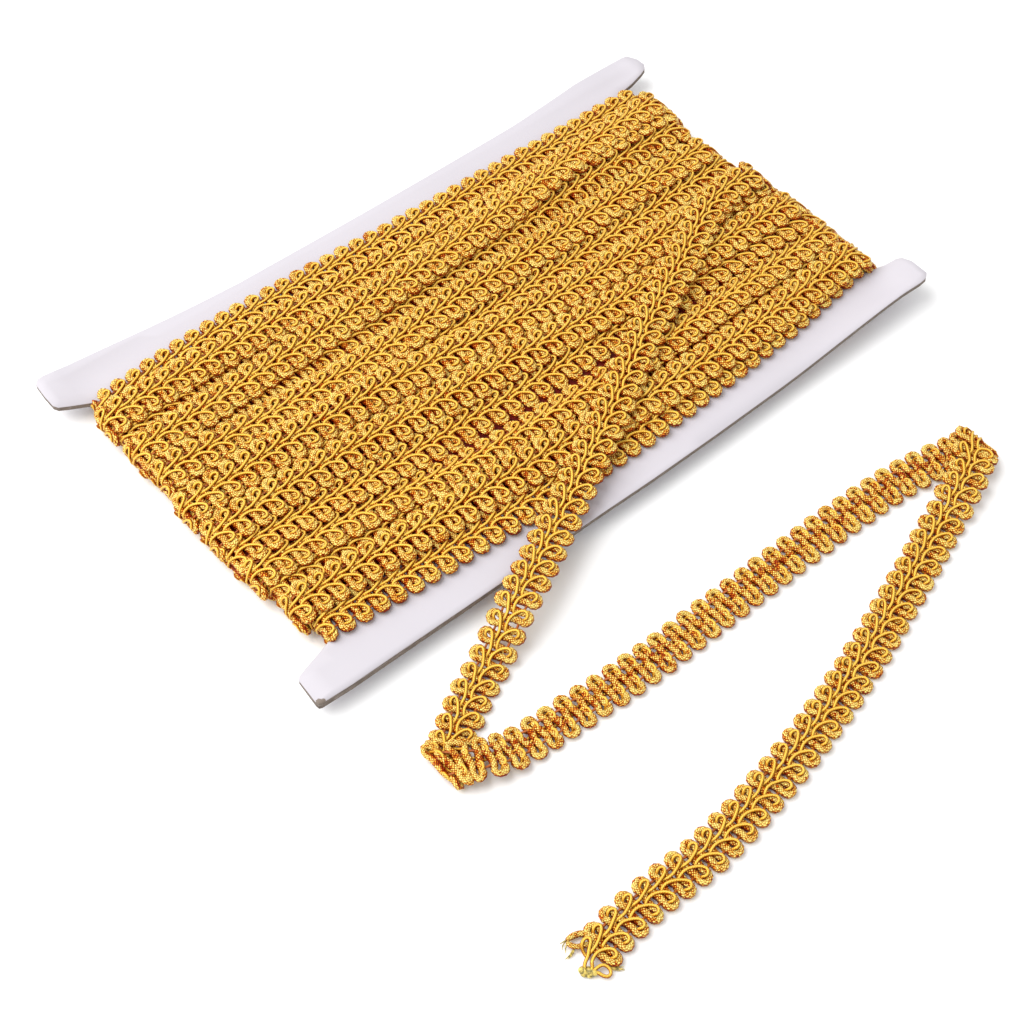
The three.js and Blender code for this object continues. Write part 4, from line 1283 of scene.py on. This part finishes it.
def braid_meshes(name, way, seed, start, count, coarse=False, press=1.0):
    """The cords of a stretch of braid, by the name of their finish."""
    have, braid = kit(), bpy.context.scene.trim_braid
    made = {}
    for cord, sides in CORD_SIDES.items():
        detail = "coarse" if coarse and cord != "thread" else "repeat"
        pressed = press if cord == "tinsel" else 1.0
        made[cord] = lay_cord(
            f"{name}_{cord}", way, have[f"{cord}_{detail}"], have[cord],
            getattr(braid, f"{cord}_thickness") * pressed, sides - 1 if coarse else sides,
            seed, start, count, braid.unevenness,
        )
    return made


def row_meshes(name, way, seed, shift, coarse=False):
    """The cords of a row, whose ends are hidden under the card."""
    count = int((length_of(way) - LEAD - TRAIL - shift) / PITCH)
    return braid_meshes(name, way, seed, LEAD + shift, count, coarse, ROW_PRESS)


def row_pieces(name, rows):
    """One piece for each cord of a group of rows."""
    for cord in rows[0]:
        made = join_meshes(f"{name}_{cord}", [row[cord] for row in rows], kit()[cord])
        piece(made, "winding")


# The card's outline


def divided_outline(corners):
    """The card's outline with points every few millimetres, its corners kept."""
    made = []
    for (x0, y0), (x1, y1) in zip(corners, corners[1:] + corners[:1]):
        pieces = max(1, round(math.hypot(x1 - x0, y1 - y0) / OUTLINE_STEP))
        made += [(x0 + (x1 - x0) * k / pieces, y0 + (y1 - y0) * k / pieces)
                 for k in range(pieces)]
    return np.array(made)


def outline_normals(outline):
    """Outward directions along an outline that runs counter-clockwise."""
    ahead = np.roll(outline, -1, axis=0) - np.roll(outline, 1, axis=0)
    return unit_vectors(np.stack((ahead[:, 1], -ahead[:, 0]), axis=1))


def inside_outline(x, y, outline):
    """Whether a point lies inside the outline, and clear of it."""
    following = np.roll(outline, -1, axis=0)
    crosses = (outline[:, 1] > y) != (following[:, 1] > y)
    span = np.where(crosses, following[:, 1] - outline[:, 1], 1)
    at = outline[:, 0] + (y - outline[:, 1]) / span * (following[:, 0] - outline[:, 0])
    sides = following - outline
    away = np.array((x, y)) - outline
    share = np.clip((away * sides).sum(axis=1) / (sides * sides).sum(axis=1), 0, 1)
    gap = np.linalg.norm(away - sides * share[:, None], axis=1).min()
    return bool(np.count_nonzero(crosses & (at > x)) % 2) and gap > OUTLINE_MARGIN


# Operators


class TRIM_OT_card(bpy.types.Operator):
    """Make the notched card with its paper faces and grey cut edges"""

    bl_idname = "trim.card"
    bl_label = "Card"

    def execute(self, context):
        sizes = context.scene.trim_card
        thick = sizes.thickness / MM
        outline = divided_outline(CARD_OUTLINE)
        normals = outline_normals(outline)
        inside = [
            (x, y) for x in np.arange(*INSIDE_X) for y in np.arange(*INSIDE_Y)
            if inside_outline(x, y, outline)
        ]
        rim = [tuple(p) for p in outline]
        count = len(rim)
        loop = [(k, (k + 1) % count) for k in range(count)]
        flat, _, faces, *_ = delaunay_2d_cdt(
            [Vector(p) for p in rim + inside], loop, [], 1, 0.001
        )
        if len(flat) < count + len(inside):
            raise RuntimeError("the card's outline crosses itself")
        points = [tuple(p) for p in flat]
        vertices, polygons, slots = [], [], []

        def level(places, height, shrink):
            first = len(vertices)
            for k, (x, y) in enumerate(places):
                nx, ny = normals[k] if k < count else (0, 0)
                z = CARD_TOP - thick + height + card_lift(x, y)
                if x < 0 and y < 0:
                    z -= EDGE_SWELL * (1 - height / thick) * curl(x, y, SWOLLEN)
                vertices.append((x - nx * shrink, y - ny * shrink, z))
            return first

        top = level(points, thick, CARD_BEVEL)
        bottom = level(points, 0, CARD_BEVEL)
        bands = [
            top, level(points[:count], thick - CARD_BEVEL, 0),
            level(points[:count], thick / 2, EDGE_HOLLOW),
            level(points[:count], CARD_BEVEL, 0), bottom,
        ]
        for face in faces:
            polygons.append([top + k for k in face])
            polygons.append([bottom + k for k in reversed(face)])
            slots += [0, 0]
        for band, (upper, lower) in enumerate(zip(bands, bands[1:])):
            for k, n in loop:
                polygons.append([lower + k, lower + n, upper + n, upper + k])
                slots.append(0 if band == 0 else 1)
        mesh = new_mesh("card_board", vertices, polygons, paper_material(sizes),
                        board_material(sizes))
        mesh.polygons.foreach_set("material_index", slots)
        flat_faces = 2 * len(faces)
        mesh.polygons.foreach_set("use_smooth", [k < flat_faces for k in range(len(slots))])
        mesh.validate()
        piece(link("card_board", mesh), "card")
        return {"FINISHED"}


class TRIM_OT_inner_turns(bpy.types.Operator):
    """Make the inner turns as one body in painted shade, which fills the gaps between the rows
    """

    bl_idname = "trim.inner_turns"
    bl_label = "Inner turns"

    def execute(self, context):
        vertices = []
        for y in np.interp(np.linspace(0, 1, INNER_RINGS), (0, 1), INNER_SPAN):
            for side, start in ((1, -90), (-1, 90)):
                x_end = notch_x(side, y)
                reach = max(turn_reach(side, y) - INNER_DEPTH, INNER_LEAST_REACH)
                for angle in np.radians(np.arange(start, start + 181, INNER_STEP)):
                    vertices.append((x_end + reach * math.cos(angle), y,
                                     INNER_HEIGHT + INNER_RISE * math.sin(angle)))
        count = len(vertices) // INNER_RINGS
        polygons = []
        for a in range(0, len(vertices) - count, count):
            b = a + count
            for k in range(count):
                n = (k + 1) % count
                polygons.append((a + k, b + k, b + n, a + n))
        polygons.append(tuple(range(count)))
        polygons.append(tuple(reversed(range(len(vertices) - count, len(vertices)))))
        mesh = new_mesh("winding_inner", vertices, polygons, kit()["inner"])
        mesh.validate()
        piece(link("winding_inner", mesh), "winding")
        return {"FINISHED"}


class TRIM_OT_rows(bpy.types.Operator):
    """Make the rows on the card, both cords of each, in the order they were laid"""

    bl_idname = "trim.rows"
    bl_label = "Rows on the card"

    def execute(self, context):
        groups = {}
        for index, (name, layer, shift, values) in enumerate(ROWS):
            way = row_course(station_line(values), kit()["heights"], layer)
            half = "far" if values[3] > 0 else "near"
            row = row_meshes(name, way, index * ROW_SEED, shift)
            groups.setdefault(f"rows_{layer}_{half}", []).append(row)
        for name, rows in groups.items():
            row_pieces(name, rows)
        return {"FINISHED"}


class TRIM_OT_underside(bpy.types.Operator):
    """Make the rows under the card, each from its row's left end to the next one's right"""

    bl_idname = "trim.underside"
    bl_label = "Rows under the card"

    def execute(self, context):
        for layer, height in (("first", LIFTED), ("last", MIDDLE)):
            found = sorted((
                values for _, kind, _, values in ROWS if (kind == "first") == (layer == "first")
            ), key=lambda values: -values[0])
            rights = [values[-1] for values in found[1:]] + [found[-1][-1] - LAST_SLANT]
            rows = []
            for index, (values, right) in enumerate(zip(found, rights)):
                way = underside_course(values[0], right, height)
                seed = UNDERSIDE_SEED + index
                shift = index % UNDERSIDE_SHIFTS
                rows.append(row_meshes(f"under_{index}", way, seed, shift, True))
            row_pieces(f"underside_{layer}", rows)
        return {"FINISHED"}


class TRIM_OT_tail(bpy.types.Operator):
    """Make the loose tail: both cords, the binding thread and the cut end"""

    bl_idname = "trim.tail"
    bl_label = "Loose tail"

    def execute(self, context):
        have, braid = kit(), context.scene.trim_braid
        way = tail_course(have["heights"])
        length = length_of(way)
        last = length - END_SPACE
        count = int((last - LEAD) / PITCH)
        whole = braid_meshes("tail", way, TAIL_SEED, last - count * PITCH, count)
        cords = {cord: [mesh] for cord, mesh in whole.items()}
        for finish, chains, thickness, sides, unevenness in (
            ("tinsel", END_TINSEL, braid.tinsel_thickness, CORD_SIDES["tinsel"], OPENED_STRAY),
            ("satin", END_SATIN, braid.satin_thickness, CORD_SIDES["satin"], OPENED_STRAY),
            ("fused", END_LUMP, LUMP_THICKNESS * MM, LUMP_SIDES, LUMP_STRAY),
            ("fused", END_FIBRES, FIBRE_THICKNESS * MM, FIBRE_SIDES, FIBRE_STRAY),
        ):
            chain = chain_object(f"end_{finish}", [smooth_line(c, END_STEP) for c in chains])
            cords.setdefault(finish, []).append(lay_cord(
                f"end_{finish}_cord", way, chain, have[finish], thickness, sides, TAIL_SEED,
                last, 1, unevenness * MM,
            ))
            bpy.data.objects.remove(chain)
        made = {
            cord: join_meshes(f"tail_{cord}", meshes, have[cord])
            for cord, meshes in cords.items()
        }
        for obj in made.values():
            piece(obj, "tail")
        return {"FINISHED"}


class TRIM_OT_stage(bpy.types.Operator):
    """Make the pale floor, the soft lights and the photograph's camera"""

    bl_idname = "trim.stage"
    bl_label = "Stage"

    def execute(self, context):
        stage = context.scene.trim_stage
        corners = ((-1, -1), (1, -1), (1, 1), (-1, 1))
        mesh = bpy.data.meshes.new("floor")
        mesh.from_pydata(
            [(x * FLOOR_HALF, y * FLOOR_HALF, -FLOOR_GAP) for x, y in corners], [],
            [(0, 1, 2, 3)],
        )
        floor = link("floor", mesh)
        finish = Finish("pale floor", roughness=0.9)
        finish.shader["Base Color"].default_value = (*stage.floor, 1.0)
        mesh.materials.append(finish.material)

        light = bpy.data.lights.new("key", "AREA")
        light.energy = stage.key_power
        light.size = KEY_SIZE
        key = link("key", light)
        key.location = KEY_PLACE
        key.rotation_euler = (-key.location).to_track_quat("-Z", "Y").to_euler()

        world = bpy.data.worlds.new("studio")
        world.use_nodes = True
        background = world.node_tree.nodes["Background"]
        background.inputs["Color"].default_value = (1, 1, 1, 1)
        background.inputs["Strength"].default_value = stage.fill
        context.scene.world = world
        context.scene.view_settings.view_transform = "Standard"

        lens = bpy.data.cameras.new("camera")
        lens.sensor_width = CAMERA_SENSOR
        lens.lens = CAMERA_LENS
        lens.clip_start = CAMERA_CLIP
        camera = link("camera", lens)
        camera.location = to_metres(CAMERA_PLACE)
        camera.rotation_euler = (
            math.radians(90 - CAMERA_FALL), 0, -math.radians(CAMERA_HEADING)
        )
        context.scene.camera = camera
        return {"FINISHED"}


class TRIM_PT_panel(bpy.types.Panel):
    """Lists the braid's sizes, colours and pieces"""

    bl_label = "Braid trim"
    bl_idname = "TRIM_PT_panel"
    bl_space_type = "VIEW_3D"
    bl_region_type = "UI"
    bl_category = "Braid trim"

    def draw(self, context):
        column = self.layout.column()
        for name in GROUPS:
            group = getattr(context.scene, name)
            for key in group.__annotations__:
                column.prop(group, key)
        for operator in OPERATORS:
            column.operator(operator.bl_idname)


GROUPS = {
    "trim_braid": TRIM_PG_braid, "trim_card": TRIM_PG_card, "trim_stage": TRIM_PG_stage,
}
OPERATORS = (
    TRIM_OT_card, TRIM_OT_inner_turns, TRIM_OT_rows, TRIM_OT_underside, TRIM_OT_tail,
    TRIM_OT_stage,
)


def register():
    for found in (*GROUPS.values(), *OPERATORS, TRIM_PT_panel):
        bpy.utils.register_class(found)
    for name, group in GROUPS.items():
        setattr(bpy.types.Scene, name, bpy.props.PointerProperty(type=group))


def unregister():
    for name in GROUPS:
        delattr(bpy.types.Scene, name)
    for found in reversed((*GROUPS.values(), *OPERATORS, TRIM_PT_panel)):
        bpy.utils.unregister_class(found)


def clear_helpers():
    """Removes the lines that the cords were repeated from."""
    for name in REPEATS:
        bpy.data.objects.remove(Kit.made[name])


def main():
    register()
    for operator in OPERATORS:
        group, name = operator.bl_idname.split(".")
        getattr(getattr(bpy.ops, group), name)()
    clear_helpers()


if __name__ == "__main__":
    main()
